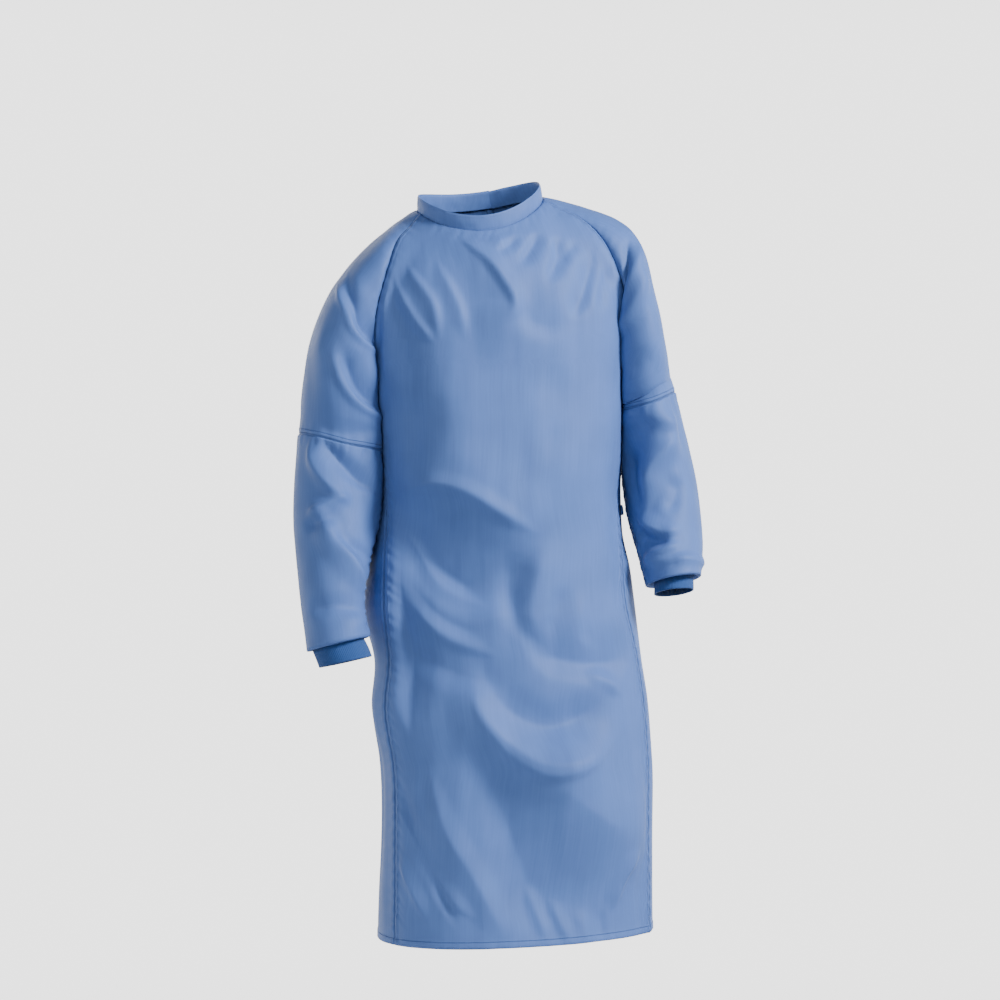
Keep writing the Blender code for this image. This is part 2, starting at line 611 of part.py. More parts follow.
yoke_levels = np.linspace(0, 1, YOKE_ROWS + 1)
stations = np.concatenate([
    yoke_levels, np.linspace(1, 2, UPPER_ROWS + 1)[1:], np.linspace(2, 3, LOWER_ROWS + 1)[1:]
])
for side, grid in sleeves.items():
    fade = edge_fade(grid, YOKE_ROWS + 1)
    fade[YOKE_ROWS + 1:] = smooth((stations[YOKE_ROWS + 1:, None] - 1) * 3)
    sleeves[side] = folded(grid, normals(grid, YOKE_ROWS + 1), stations, SLEEVE_FOLDS[side], fade)
front_levels = -front[:, FRONT_COLUMNS // 2, 2]
back_levels = -under[:, middle, 2]
all_rows = len(front)
front = folded(front, normals(front), front_levels, flip(FRONT_FOLDS), edge_fade(front, all_rows))
back_fade = edge_fade(under, all_rows)
push = folded(under, normals(under), back_levels, flip(BACK_FOLDS), back_fade) - under
under = under + push
over = over + push

front_out = normals(front)
under_out = normals(under)
over_out = normals(over)
sleeve_out = {side: normals(grid, YOKE_ROWS + 1) for side, grid in sleeves.items()}

raglan = slice(0, YOKE_ROWS)
side_seam = slice(YOKE_ROWS, None)
plain = front_out.copy(), under_out.copy(), over_out.copy()
plain_sleeve = {side: n.copy() for side, n in sleeve_out.items()}
front_out[side_seam, 0] = joined(plain[0][side_seam, 0], plain[1][side_seam, -1])
front_out[side_seam, -1] = joined(plain[0][side_seam, -1], plain[2][side_seam, 0])
under_out[side_seam, -1] = joined(plain[1][side_seam, -1], plain[0][side_seam, 0])
over_out[side_seam, 0] = joined(plain[2][side_seam, 0], plain[0][side_seam, -1])
front_out[raglan, 0] = joined(plain[0][raglan, 0], plain_sleeve["right"][raglan, -1])
front_out[raglan, -1] = joined(plain[0][raglan, -1], plain_sleeve["left"][raglan, 0])
under_out[raglan, -1] = joined(plain[1][raglan, -1], plain_sleeve["right"][raglan, 0])
over_out[raglan, 0] = joined(plain[2][raglan, 0], plain_sleeve["left"][raglan, -1])
sleeve_out["right"][raglan, -1] = joined(plain_sleeve["right"][raglan, -1], plain[0][raglan, 0])
sleeve_out["right"][raglan, 0] = joined(plain_sleeve["right"][raglan, 0], plain[1][raglan, -1])
sleeve_out["left"][raglan, 0] = joined(plain_sleeve["left"][raglan, 0], plain[0][raglan, -1])
sleeve_out["left"][raglan, -1] = joined(plain_sleeve["left"][raglan, -1], plain[2][raglan, 0])

body_wall = np.full(YOKE_ROWS + BODY_ROWS + 1, WALL)
body_wall[-HEM_ROWS - 1:] = HEM_WALL
shell("front_panel", front, front_out, body_wall, CLOTH)
shell("back_left_panel", over[:, :left_end + 1], over_out[:, :left_end + 1], body_wall, CLOTH)
shell("back_right_panel", under[:, right_start:], under_out[:, right_start:], body_wall, CLOTH)

elbow = YOKE_ROWS + UPPER_ROWS
for side in ("right", "left"):
    grid, out = sleeves[side], sleeve_out[side]
    shell(side + "_upper_sleeve", grid[:elbow + 1], out[:elbow + 1], WALL, CLOTH)
    low = np.concatenate([grid[elbow:], turn_in(side, grid[-1], grid[-2])])
    low_out = normals(low, 0)
    low_out[0] = out[elbow]
    shell(side + "_lower_sleeve", low, low_out, WALL, CLOTH)
    cuff = cuff_grid(side, np.linspace(0, 1, SLEEVE_COLUMNS + 1))
    shell(side + "_cuff", cuff, normals(cuff, 0), CUFF_WALL, KNIT)

turn = CORNERS[2] + (CORNERS[3] - CORNERS[2]) * left_end / BACK_COLUMNS
angles = np.linspace(-turn, turn, BAND_COLUMNS + 1)
position = (angles - CORNERS[2]) / (CORNERS[3] - CORNERS[2]) * BACK_COLUMNS
band_lift = WRAP_LIFT * smooth((position - (right_start - WRAP_RAMP)) / WRAP_RAMP)
seam = neck_ring(angles, band_lift)
upward = unit(np.array([-NECK_RISE_LEFT, -NECK_RISE_BACK, 1.0]))
outward = unit(seam * (1, 1, 0))
edge = seam + BAND_HEIGHT * upward - BAND_LEAN * BAND_HEIGHT * outward
band = edge + (seam - edge) * np.linspace(0, 1, 3)[:, None, None]
band_out = normals(band)
shell("neck_band", band, band_out, BAND_WALL, CLOTH)

back = outer_faces([over[:, :left_end + 1], under[:, right_start:]])
spot = np.array([CROSSING[0]]), np.array([-CROSSING[1]])
crossing = on_grid(over, back_levels, *spot)[0]
for side, path in TIES.items():
    line = through(path, TAPE_STEPS)
    share, depth = line[:, 0], -line[:, 1]
    base = on_grid(over, back_levels, share, depth)
    away = unit(on_grid(over_out, back_levels, share, depth))
    aside = unit(np.cross(unit(np.gradient(base, axis=0)), away))
    near = np.linalg.norm(base - crossing, axis=1) / KNOT_REACH
    knot = smooth(PINCH_NEAR - near)
    half = (TAPE_WIDTH + (TAPE_PINCH - TAPE_WIDTH) * knot) / 2
    clear = TAPE_CLEAR + TAPE_WALL + KNOT_CLEAR * knot
    if side == "left":
        clear = clear + (TAPE_WALL + TAPE_CLEAR) * smooth(CROSS_NEAR - near)
    heights = []
    for k in (-1, -0.5, 0, 0.5, 1):
        row = base + aside * (half * k)[:, None]
        heights.append([drop_on(back, p, n) for p, n in zip(row, away)])
    height = np.max(heights, axis=0)
    height = np.maximum(height, np.maximum(np.roll(height, 1), np.roll(height, -1)))
    middle_line = base + away * (height + clear)[:, None]
    rows = np.array([middle_line + aside * (half * k)[:, None] for k in (-1, 0, 1)])
    shell("waist_tie_" + side, rows, np.broadcast_to(away, rows.shape), TAPE_WALL, CLOTH, edges=())

knot_out = unit(on_grid(over_out, back_levels, *spot))[0]
knot_across = unit(np.cross(knot_out, [0.0, 0.0, 1.0]))
knot_lift = TAPE_CLEAR + KNOT_CLEAR + TAPE_WALL + TAPE_CLEAR / 2
knot_up = np.cross(knot_across, knot_out)
loop("waist_knot", crossing + knot_out * knot_lift, knot_across, knot_out, knot_up, CLOTH)

band_faces = outer_faces([band])
for side, angle in zip(("right", "left"), SNAP_ANGLES):
    point = np.array([np.interp(angle, angles, band[1][:, k]) for k in range(3)])
    way = unit(np.array([np.interp(angle, angles, band_out[1][:, k]) for k in range(3)]))
    snap("neck_snap_" + side, point + way * (drop_on(band_faces, point, way) + SNAP_LIFT), way)
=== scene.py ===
import math
from collections import namedtuple

import bmesh
import bpy
import numpy as np
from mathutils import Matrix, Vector, noise
from mathutils.bvhtree import BVHTree


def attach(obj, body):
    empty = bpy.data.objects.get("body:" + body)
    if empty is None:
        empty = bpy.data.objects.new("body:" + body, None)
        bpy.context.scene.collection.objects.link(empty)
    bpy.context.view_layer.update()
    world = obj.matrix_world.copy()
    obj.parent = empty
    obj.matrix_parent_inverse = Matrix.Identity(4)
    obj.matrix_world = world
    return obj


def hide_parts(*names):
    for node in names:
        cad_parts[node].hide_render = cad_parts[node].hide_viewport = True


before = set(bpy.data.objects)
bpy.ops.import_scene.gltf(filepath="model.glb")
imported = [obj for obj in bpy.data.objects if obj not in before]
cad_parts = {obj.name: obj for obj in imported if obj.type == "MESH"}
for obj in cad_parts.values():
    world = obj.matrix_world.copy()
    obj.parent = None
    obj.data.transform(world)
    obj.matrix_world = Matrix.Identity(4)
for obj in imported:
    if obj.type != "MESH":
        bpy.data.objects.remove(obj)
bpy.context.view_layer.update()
bpy.ops.object.select_all(action="DESELECT")

# The studio: a small pale floor well below the hem, which hangs clear of it, a
# wide soft lamp on the wearer's left, weaker ones on the right and behind, and a
# room whose walls are bright at the height of the gown and dim above and below.
FLOOR_LEVEL = -1.60
FLOOR_RADIUS = 1.5
FLOOR_COLOR = (0.8, 0.8, 0.8, 1)
STAND_OFF = 4.2
TURN = math.radians(-8)
LOOK_HEIGHT = -0.451
LOOK_SIDE = 0.0306
FRAME_WIDTH = 1.53
SENSOR = 36.0
WALL_LIGHT = 2.8
ROOM_LIGHT = 0.22
WALL_EDGES = 0.16, 0.34
FRONT_SHARE = 0.50
FRONT_EDGES = -0.7, 0.6
LIT_SPOT = (0, 0, -0.40)
Lamp = namedtuple("Lamp", "name place size power spread")
LAMPS = [
    Lamp("key", (2.5, -2.1, 1.5), 0.9, 116, 104),
    Lamp("fill", (-2.2, -3.0, 0.6), 2.2, 50, 180),
    Lamp("back", (-0.6, 3.0, 1.0), 2.2, 60, 180),
]


def node(tree, kind, fed, **settings):
    """A node of a material, each of its sockets fed a value or another's socket."""
    new = tree.nodes.new(kind)
    for name, value in settings.items():
        setattr(new, name, value)
    for socket, value in fed.items():
        if isinstance(value, bpy.types.NodeSocket):
            tree.links.new(value, new.inputs[socket])
        else:
            new.inputs[socket].default_value = value
    return new


def worked(tree, operation, *fed):
    """Socket with the result of one step of arithmetic."""
    return node(tree, "ShaderNodeMath", dict(enumerate(fed)), operation=operation).outputs[0]


def ramp(tree, value, edges, ends):
    """Socket that goes softly from one end value to the other between two edges."""
    fed = dict(zip(("From Min", "From Max", "To Min", "To Max"), (*edges, *ends)), Value=value)
    return node(tree, "ShaderNodeMapRange", fed, interpolation_type="SMOOTHSTEP").outputs[0]


def new_material(name, rough):
    """A material and its shader, with the roughness set."""
    material = bpy.data.materials.new(name)
    material.use_nodes = True
    shader = material.node_tree.nodes["Principled BSDF"]
    shader.inputs["Roughness"].default_value = rough
    return material, shader


toward = Vector((math.sin(TURN), -math.cos(TURN), 0))
aside = Vector((math.cos(TURN), math.sin(TURN), 0))
target = aside * LOOK_SIDE + Vector((0, 0, LOOK_HEIGHT))
camera = bpy.data.objects.new("camera", bpy.data.cameras.new("camera"))
camera.location = target + toward * STAND_OFF
camera.rotation_euler = (target - camera.location).to_track_quat("-Z", "Y").to_euler()
camera.data.sensor_width = SENSOR
camera.data.lens = SENSOR * STAND_OFF / FRAME_WIDTH
bpy.context.scene.collection.objects.link(camera)
bpy.context.scene.camera = camera

for lamp in LAMPS:
    light = bpy.data.lights.new(lamp.name, "AREA")
    light.size = lamp.size
    light.energy = lamp.power
    light.spread = math.radians(lamp.spread)
    holder = bpy.data.objects.new(lamp.name, light)
    holder.location = lamp.place
    aim = Vector(LIT_SPOT) - holder.location
    holder.rotation_euler = aim.to_track_quat("-Z", "Y").to_euler()
    bpy.context.scene.collection.objects.link(holder)

room = bpy.data.worlds.new("room")
room.use_nodes = True
nodes = room.node_tree
around = node(nodes, "ShaderNodeTexCoord", {}).outputs["Generated"]
axes = node(nodes, "ShaderNodeSeparateXYZ", {0: around})
slope = worked(nodes, "ABSOLUTE", axes.outputs["Z"])
walls = ramp(nodes, slope, WALL_EDGES, (WALL_LIGHT, ROOM_LIGHT))
in_front = ramp(nodes, axes.outputs["Y"], FRONT_EDGES, (FRONT_SHARE, 1.0))
background = nodes.nodes["Background"]
background.inputs["Color"].default_value = (1, 1, 1, 1)
nodes.links.new(worked(nodes, "MULTIPLY", walls, in_front), background.inputs["Strength"])
bpy.context.scene.world = room

bpy.ops.mesh.primitive_circle_add(
    vertices=96, radius=FLOOR_RADIUS, fill_type="NGON", location=(0, 0, FLOOR_LEVEL)
)
floor = bpy.context.object
floor.name = "floor"
pale, shader = new_material("pale_floor", 0.7)
shader.inputs["Base Color"].default_value = FLOOR_COLOR
floor.data.materials.append(pale)
bpy.ops.object.select_all(action="DESELECT")

# The body of the gown is one wide tube of tightly woven polyester, a front and two
# lapped backs. It is drawn as level rings: extremes on the wearer's right and left,
# depth before and behind the middle, and how far forward the side seam runs.
Section = namedtuple("Section", "z right left front back seam")
BODY = [
    Section(-0.250, -0.1690, 0.2190, 0.135, 0.125, 0.004),
    Section(-0.320, -0.1600, 0.2170, 0.140, 0.118, 0.012),
    Section(-0.390, -0.1530, 0.2140, 0.141, 0.107, 0.022),
    Section(-0.450, -0.1510, 0.2100, 0.138, 0.100, 0.034),
    Section(-0.500, -0.1580, 0.2160, 0.135, 0.104, 0.050),
    Section(-0.550, -0.1720, 0.2280, 0.134, 0.118, 0.066),
    Section(-0.600, -0.1800, 0.2360, 0.136, 0.132, 0.074),
    Section(-0.696, -0.1630, 0.2490, 0.142, 0.146, 0.066),
    Section(-0.757, -0.1710, 0.2590, 0.147, 0.150, 0.070),
    Section(-0.849, -0.1580, 0.2650, 0.154, 0.156, 0.073),
    Section(-0.980, -0.1560, 0.2650, 0.161, 0.162, 0.076),
    Section(-1.112, -0.1565, 0.2665, 0.168, 0.166, 0.078),
]
UNDERARM = BODY[0].z
HEM = BODY[-1].z
HEM_TILT = 0.028
SQUARENESS = 2.25
RING_STEPS = 361


def cubic(xs, ys, at):
    """Smooth curve through the rows of a table, read at any position."""
    xs, ys, at = (np.asarray(v, float) for v in (xs, ys, at))
    slopes = np.gradient(ys, xs, axis=0)
    k = np.clip(np.searchsorted(xs, at, side="right") - 1, 0, len(xs) - 2)
    h = xs[k + 1] - xs[k]
    t = (at - xs[k]) / h
    if ys.ndim > 1:
        h, t = h[..., None], t[..., None]
    a, b = 2 * t**3 - 3 * t**2 + 1, t**3 - 2 * t**2 + t
    c, d = -2 * t**3 + 3 * t**2, t**3 - t**2
    return a * ys[k] + b * h * slopes[k] + c * ys[k + 1] + d * h * slopes[k + 1]


def column(rows, name):
    return [getattr(row, name) for row in rows]


def lengths(line):
    """Distance of each point of a line from its first point."""
    steps = np.linalg.norm(np.diff(line, axis=0), axis=1)
    return np.concatenate([[0], np.cumsum(steps)])


def read_at(at, marks, line):
    """The line's points, or other triples, read between marks."""
    return np.stack([np.interp(at, marks, line[:, k]) for k in range(3)], axis=-1)


def evenly(points, shares):
    """Points at the given shares of a fine line's length."""
    along = lengths(points)
    return read_at(np.asarray(shares) * along[-1], along, points)


def smooth(x):
    x = np.clip(x, 0, 1)
    return x * x * (3 - 2 * x)


def unit(v):
    return v / np.linalg.norm(v, axis=-1, keepdims=True)


def squircle(v):
    return np.sign(v) * np.abs(v) ** (2 / SQUARENESS)


def body_ring(part, shares, drop=0.0, lift=0.0):
    """Half of a level ring of the body, from one side seam to the other."""
    z = UNDERARM + (HEM - UNDERARM) * drop
    right, left, front, back, seam = (
        float(cubic([-s.z for s in BODY], column(BODY, name), -z))
        for name in ("right", "left", "front", "back", "seam")
    )
    turn = math.acos((seam / front) ** (SQUARENESS / 2))
    if part == "front":
        a = np.linspace(-turn, turn, RING_STEPS)
    else:
        a = np.linspace(turn, 2 * math.pi - turn, RING_STEPS)
    x = (right + left) / 2 + (left - right) / 2 * squircle(np.sin(a))
    y = -np.where(np.cos(a) > 0, front, back) * squircle(np.cos(a))
    ring = evenly(np.stack([x, y, z + HEM_TILT * drop * x], axis=1), shares)
    along = np.gradient(ring, axis=0)
    outward = unit(np.stack([along[:, 1], -along[:, 0], 0 * along[:, 0]], axis=1))
    return ring + np.reshape(lift, (-1, 1)) * outward


# The yoke is where four pieces of cloth, the front, the two raglan sleeves and the
# back, run up from the underarm to the neck seam. Each row of the table says how the
# cloth leaves the neck and how it meets the underarm ring, by place round the neck.
NECK_HALF = 0.096
NECK_FRONT = 0.088
NECK_BACK = 0.075
NECK_Z = 0.002
NECK_RISE_BACK = 0.270
NECK_FLATTEN = 3.07
NECK_RISE_LEFT = 0.123
RAGLAN_FRONT = math.radians(78)
RAGLAN_BACK = math.radians(128)
YOKE_ROWS = 66
SECTORS = ["front", "left", "back", "right"]
CORNERS = [
    -RAGLAN_FRONT,
    RAGLAN_FRONT,
    RAGLAN_BACK,
    2 * math.pi - RAGLAN_BACK,
    2 * math.pi - RAGLAN_FRONT,
]
Guide = namedtuple("Guide", "at leave arrive")
GUIDES = [
    Guide(0.0, (-0.047, -0.044, -0.055), (-0.010, -0.055, 0.085)),
    Guide(0.5, (0.004, -0.026, -0.060), (0.000, 0.004, 0.080)),
    Guide(1.0, (0.082, -0.039, -0.039), (0.012, -0.055, 0.130)),
    Guide(1.5, (0.172, 0.000, -0.038), (-0.052, 0.000, 0.206)),
    Guide(2.0, (0.074, 0.049, -0.040), (0.002, 0.105, 0.125)),
    Guide(2.5, (0.000, 0.030, -0.044), (0.000, 0.015, 0.110)),
    Guide(3.0, (-0.049, 0.049, -0.057), (-0.002, 0.105, 0.090)),
    Guide(3.5, (-0.074, 0.000, -0.036), (0.009, 0.000, 0.078)),
]
Ring = namedtuple("Ring", "station x y z across deep tilt pitch")
SLEEVES = {
    "right": [
        Ring(1.00, -0.2160, -0.004, -0.250, 0.0470, 0.085, 18, 0),
        Ring(1.50, -0.2205, 0.008, -0.306, 0.0515, 0.082, 17, 0),
        Ring(2.00, -0.2200, 0.012, -0.365, 0.0550, 0.078, 15, 0),
        Ring(2.25, -0.2230, 0.000, -0.435, 0.0600, 0.076, 10, 2),
        Ring(2.50, -0.2260, -0.022, -0.500, 0.0600, 0.071, 2, 6),
        Ring(2.70, -0.2290, -0.046, -0.555, 0.0530, 0.066, -6, 8),
        Ring(2.85, -0.2310, -0.068, -0.605, 0.0460, 0.060, -10, 8),
        Ring(3.00, -0.2250, -0.092, -0.664, 0.0465, 0.054, -13, 6),
    ],
    "left": [
        Ring(1.00, 0.2535, -0.004, -0.250, 0.0345, 0.085, 18, 0),
        Ring(1.50, 0.2592, 0.012, -0.275, 0.0347, 0.083, 20, 0),
        Ring(2.00, 0.2660, 0.022, -0.299, 0.0380, 0.081, 22, 0),
        Ring(2.25, 0.2770, 0.020, -0.372, 0.0480, 0.078, 14, 2),
        Ring(2.50, 0.2825, 0.006, -0.432, 0.0555, 0.073, 7, 5),
        Ring(2.70, 0.2860, -0.014, -0.485, 0.0550, 0.068, 1, 8),
        Ring(2.85, 0.2890, -0.036, -0.528, 0.0500, 0.062, 2, 10),
        Ring(3.00, 0.2890, -0.062, -0.574, 0.0415, 0.054, 8, 12),
    ],
}


def oval(sign, shares, x, y, z, across, deep, tilt, pitch):
    """A tilted ring round an arm, from its inner side forward and round."""
    a = np.linspace(0, 2 * math.pi, RING_STEPS)[::sign]
    beside = -across * np.cos(a)
    ahead = deep * np.sin(a)
    rise = math.tan(math.radians(tilt)) * beside + math.tan(math.radians(pitch)) * ahead
    return evenly(np.stack([x + sign * beside, y - ahead, z + rise], axis=1), shares)


def sleeve_ring(side, shares, station):
    """Ring of a sleeve at a station: 1 is the underarm, 2 the elbow seam, 3 the cuff."""
    rows = SLEEVES[side]
    sizes = (
        float(cubic(column(rows, "station"), column(rows, name), station))
        for name in ("x", "y", "z", "across", "deep", "tilt", "pitch")
    )
    return oval(1 if side == "left" else -1, shares, *sizes)


def start_shift(side, station):
    """Brings the sleeve's underarm seam to the body's and fades to the elbow."""
    corner = body_ring("front", [0.0, 1.0])[0 if side == "right" else 1]
    start = sleeve_ring(side, [0.0], 1.0)[0]
    return (corner - start) * max(0.0, 2.0 - station) ** 2


def neck_ring(angles, lift):
    x = (NECK_HALF + lift) * np.sin(angles)
    depth = np.where(np.cos(angles) > 0, NECK_FRONT + lift, NECK_BACK + lift)
    y = -depth * np.cos(angles)
    z = NECK_Z + NECK_RISE_BACK * y - NECK_FLATTEN * y * y + NECK_RISE_LEFT * x
    return np.stack([x, y, z], axis=1)


def yoke(sector, shares, lift=0.0):
    """Rows of points from the neck seam to the underarm ring."""
    k = SECTORS.index(sector)
    top = neck_ring(CORNERS[k] + (CORNERS[k + 1] - CORNERS[k]) * shares, lift)
    if sector in ("front", "back"):
        low = body_ring(sector, shares, lift=lift)
    else:
        low = sleeve_ring(sector, shares, 1.0) + start_shift(sector, 1.0)
    at = [g.at + turn for turn in (-4, 0, 4) for g in GUIDES]
    leave = cubic(at, column(GUIDES, "leave") * 3, k + shares)
    arrive = cubic(at, column(GUIDES, "arrive") * 3, k + shares)
    t = np.linspace(0, 1, YOKE_ROWS + 1)[:, None, None]
    return (
        (1 - t) ** 3 * top
        + 3 * (1 - t) ** 2 * t * (top + leave)
        + 3 * (1 - t) * t**2 * (low + arrive)
        + t**3 * low
    )


# Worn cloth breaks into folds. A row gives one: width and depth in mm, how sharp its
# crease is, how much it leans, and its points, in thousandths across the panel and mm
# below the neck, or thousandths of a station down a sleeve. A trough's depth is below 0.
CREASE_ROUND = 0.07
CREASE_REACH = 1.7
CREASE_CRISP = 8.0
CREASE_FOOT = 3.4
FOLD_STEPS = 60
FOLD_TAPER = 0.32
FOLD_POINT = 0.35
EDGE_FADE = 0.028


def through(path, count):
    """Even steps along a smooth curve through the points of a path."""
    path = np.array(path, float)
    return cubic(np.arange(len(path)), path, np.linspace(0, len(path) - 1, count))


def on_grid(grid, levels, share, level, shares):
    """Point of a grid at a share across it and a level down it."""
    row = np.interp(level, levels, np.arange(len(levels)))
    col = np.interp(share, shares, np.arange(len(shares)))
    i = np.minimum(row.astype(int), grid.shape[0] - 2)
    j = np.minimum(col.astype(int), grid.shape[1] - 2)
    u, v = (col - j)[..., None], (row - i)[..., None]
    upper = grid[i, j] * (1 - u) + grid[i, j + 1] * u
    lower = grid[i + 1, j] * (1 - u) + grid[i + 1, j + 1] * u
    return upper * (1 - v) + lower * v


def normals(grid):
    """Outward directions of a grid whose rows run down and round by the front."""
    return unit(np.cross(np.gradient(grid, axis=0), np.gradient(grid, axis=1)))


def creased(d):
    """Flat flanks that meet in a narrow crease and run out softly at the foot."""
    away = np.sqrt(d * d + CREASE_ROUND**2) - CREASE_ROUND
    flank = CREASE_CRISP * (1 - away / CREASE_REACH)
    return np.logaddexp(0, flank) / np.logaddexp(0, CREASE_CRISP)


def fold_depth(grid, outward, levels, shares, folds):
    """How far each point stands out or in because of the folds."""
    total = np.zeros(grid.shape[:2])
    t = np.linspace(0, 1, FOLD_STEPS)
    ends = smooth(t / FOLD_TAPER) * smooth((1 - t) / FOLD_TAPER)
    narrowing = FOLD_POINT + (1 - FOLD_POINT) * ends
    for width, depth, sharp, lean, *path in folds:
        width, depth = width / 1000, depth / 1000
        path = through(np.array(path) / 1000, FOLD_STEPS)
        line = on_grid(grid, levels, path[:, 0], path[:, 1], shares)
        reach = CREASE_FOOT * width * (1 + abs(lean))
        inside = (grid > line.min(axis=0) - reach) & (grid < line.max(axis=0) + reach)
        near = np.all(inside, axis=-1)
        gap = grid[near][:, None] - line
        step = np.gradient(line, axis=0)
        heading = unit(step)
        past = np.abs(np.sum(gap * heading, axis=2))
        beside2 = np.maximum(np.sum(gap * gap, axis=2) - past**2, 0)
        past = np.maximum(past - np.linalg.norm(step, axis=1) / 2, 0)
        away = np.sqrt(beside2 + past**2)
        turned = np.sum(np.cross(heading, gap) * outward[near][:, None], axis=2)
        flank = np.tanh(2 * turned / width)
        d = away / (width * (1 + lean * flank) * narrowing)
        shape = sharp * creased(d) + (1 - sharp) * np.exp(-d * d)
        total[near] += depth * (ends * shape).max(axis=1)
    return total


def edge_fade(grid):
    """Nothing at the neck seam and at both side borders, one away from them."""
    edges = grid[:, :1], grid[:, -1:], grid[:1]
    first, last, top = (
        smooth(np.linalg.norm(grid - edge, axis=-1) / EDGE_FADE) for edge in edges
    )
    return first * last * top


SEED_APART = 7.3, 1.7
TERM_APART = 3.1, 5.9


def drifting(places, *rest):
    """Smooth chance between -1 and 1, for every place along a line."""
    return np.array([noise.noise(Vector((place, *rest))) for place in places])


def uneven(grid, seed, terms):
    """Slow unevenness of hanging cloth: (size across, size down, height) each."""
    total = np.zeros(grid.shape[:2])
    for k, (across, down, height) in enumerate(terms):
        shift = seed * SEED_APART[0] + k * TERM_APART[0], seed * SEED_APART[1], k * TERM_APART[1]
        flat = grid.reshape(-1, 3) / (across, across, down)
        values = [noise.noise(Vector(p) + Vector(shift)) for p in flat]
        total += height * np.reshape(values, total.shape)
    return total


def crowded(count, crowd):
    """Shares that lie closer together at both seams."""
    s = np.linspace(0, 1, count + 1)
    return s - crowd * np.sin(2 * math.pi * s) / (2 * math.pi)


def along_columns(grid):
    """Distance of each point from the first row, down its column."""
    steps = np.linalg.norm(np.diff(grid, axis=0), axis=-1)
    return np.concatenate([np.zeros((1, grid.shape[1])), np.cumsum(steps, axis=0)])


def along_rows(grid):
    """Distance of each point from the first border, along its row."""
    return along_columns(np.swapaxes(grid, 0, 1)).T


# Every seam is felled: the edges are turned under and stitched flat twice, so a low
# band stands beside the seam line, the line itself sinks, and the cloth puckers where
# the thread draws it in. The hem is turned up once and stitched along its top.
FELL = 0.0085
FELL_RISE = 0.0009
FELL_STEP = 0.0012
SEAM_DIP = 0.0009
SEAM_WIDE = 0.0014
SEAM_FLAT = 0.005
PUCKER_LENGTH = 0.019
PUCKER_AT = 0.004
PUCKER_REACH = 0.016
PUCKER_HEIGHT = 0.0019
PUCKER_PACE, PUCKER_WANDER = 31, 5
PUCKER_LEAST, PUCKER_SPREAD = 0.6, 0.8
SIDE_PULL, RAGLAN_PULL = 0.6, 0.3
HEM_DEEP = 0.011
HEM_RISE, HEM_EDGE = 0.0008, 0.001
HEM_SINK, HEM_SINK_WIDE = 0.0006, 0.0012
HEM_ROW = HEM_DEEP - HEM_SINK_WIDE


def seam_relief(distance, run, seed, fell=True, pucker=1.0):
    """Relief beside a seam, by distance from it and by distance along it."""
    rise = -SEAM_DIP * np.exp(-((distance / SEAM_WIDE) ** 2))
    if fell:
        band = smooth((FELL + FELL_STEP - distance) / (2 * FELL_STEP))
        rise += FELL_RISE * smooth(distance / FELL_STEP) * band
    drift = drifting(run.ravel() * PUCKER_PACE + seed, seed, 0).reshape(run.shape)
    wave = np.sin(2 * math.pi * run / PUCKER_LENGTH + PUCKER_WANDER * drift)
    wave *= PUCKER_LEAST + PUCKER_SPREAD * np.abs(drift)
    beside = np.exp(-((distance - PUCKER_AT) / PUCKER_REACH) ** 2) * smooth(distance / SEAM_FLAT)
    return rise + pucker * PUCKER_HEIGHT * wave * beside


def hem_relief(distance):
    """The doubled cloth of the hem, by distance from the lower edge."""
    step = smooth((HEM_DEEP + HEM_EDGE - distance) / (2 * HEM_EDGE))
    sink = np.exp(-(((distance - HEM_ROW) / HEM_SINK_WIDE) ** 2))
    return HEM_RISE * step - HEM_SINK * sink


# Tightly woven polyester: fine plain weave with long faint streaks of the warp, a
# soft shine where the weave turns to the light, and no nap. Each piece is laid out
# flat, in metres, for its weave and for the rows of stitching beside its seams.
CLOTH_COLOR = (0.058, 0.116, 0.318)
CLOTH_THICK = 0.0006
ROW_ONE, ROW_TWO = 0.0020, 0.0078
GROOVE = 0.0010
GROOVE_DEEP = 0.0007
# How much the cloth's colour is darkened in the stitching grooves: painted shade.
GROOVE_PAINTED_SHADE = 0.78
SHEEN_SPREAD = 0.45
CLOTH_GLOSS = 0.18
STREAK_SCALE = (340, 10, 1)
STREAK_TONE = 2.2
BROAD_SCALE = 14.0
WAVES_A_METRE = 0.314
THREAD_WANDER = 0.6
WEAVE_DEEP = 0.0003


def mixed(tree, kind, *fed):
    """Socket with two colours brought together by a share."""
    fed = dict(zip((0, 6, 7), fed))
    return node(tree, "ShaderNodeMix", fed, data_type="RGBA", blend_type=kind).outputs[2]


def seam_lines(tree):
    """How far each spot lies in the groove that a row of stitching draws in cloth."""
    place = node(tree, "ShaderNodeUVMap", {}, uv_map="seams").outputs["UV"]
    axes = node(tree, "ShaderNodeSeparateXYZ", {0: place})
    grooves = []
    for axis, row in (("X", ROW_ONE), ("X", ROW_TWO), ("Y", HEM_ROW)):
        away = worked(tree, "ABSOLUTE", worked(tree, "SUBTRACT", axes.outputs[axis], row))
        grooves.append(ramp(tree, away, (0.0, GROOVE), (1.0, 0.0)))
    sewn_pair = worked(tree, "MAXIMUM", *grooves[:2])
    return worked(tree, "MAXIMUM", sewn_pair, grooves[2])


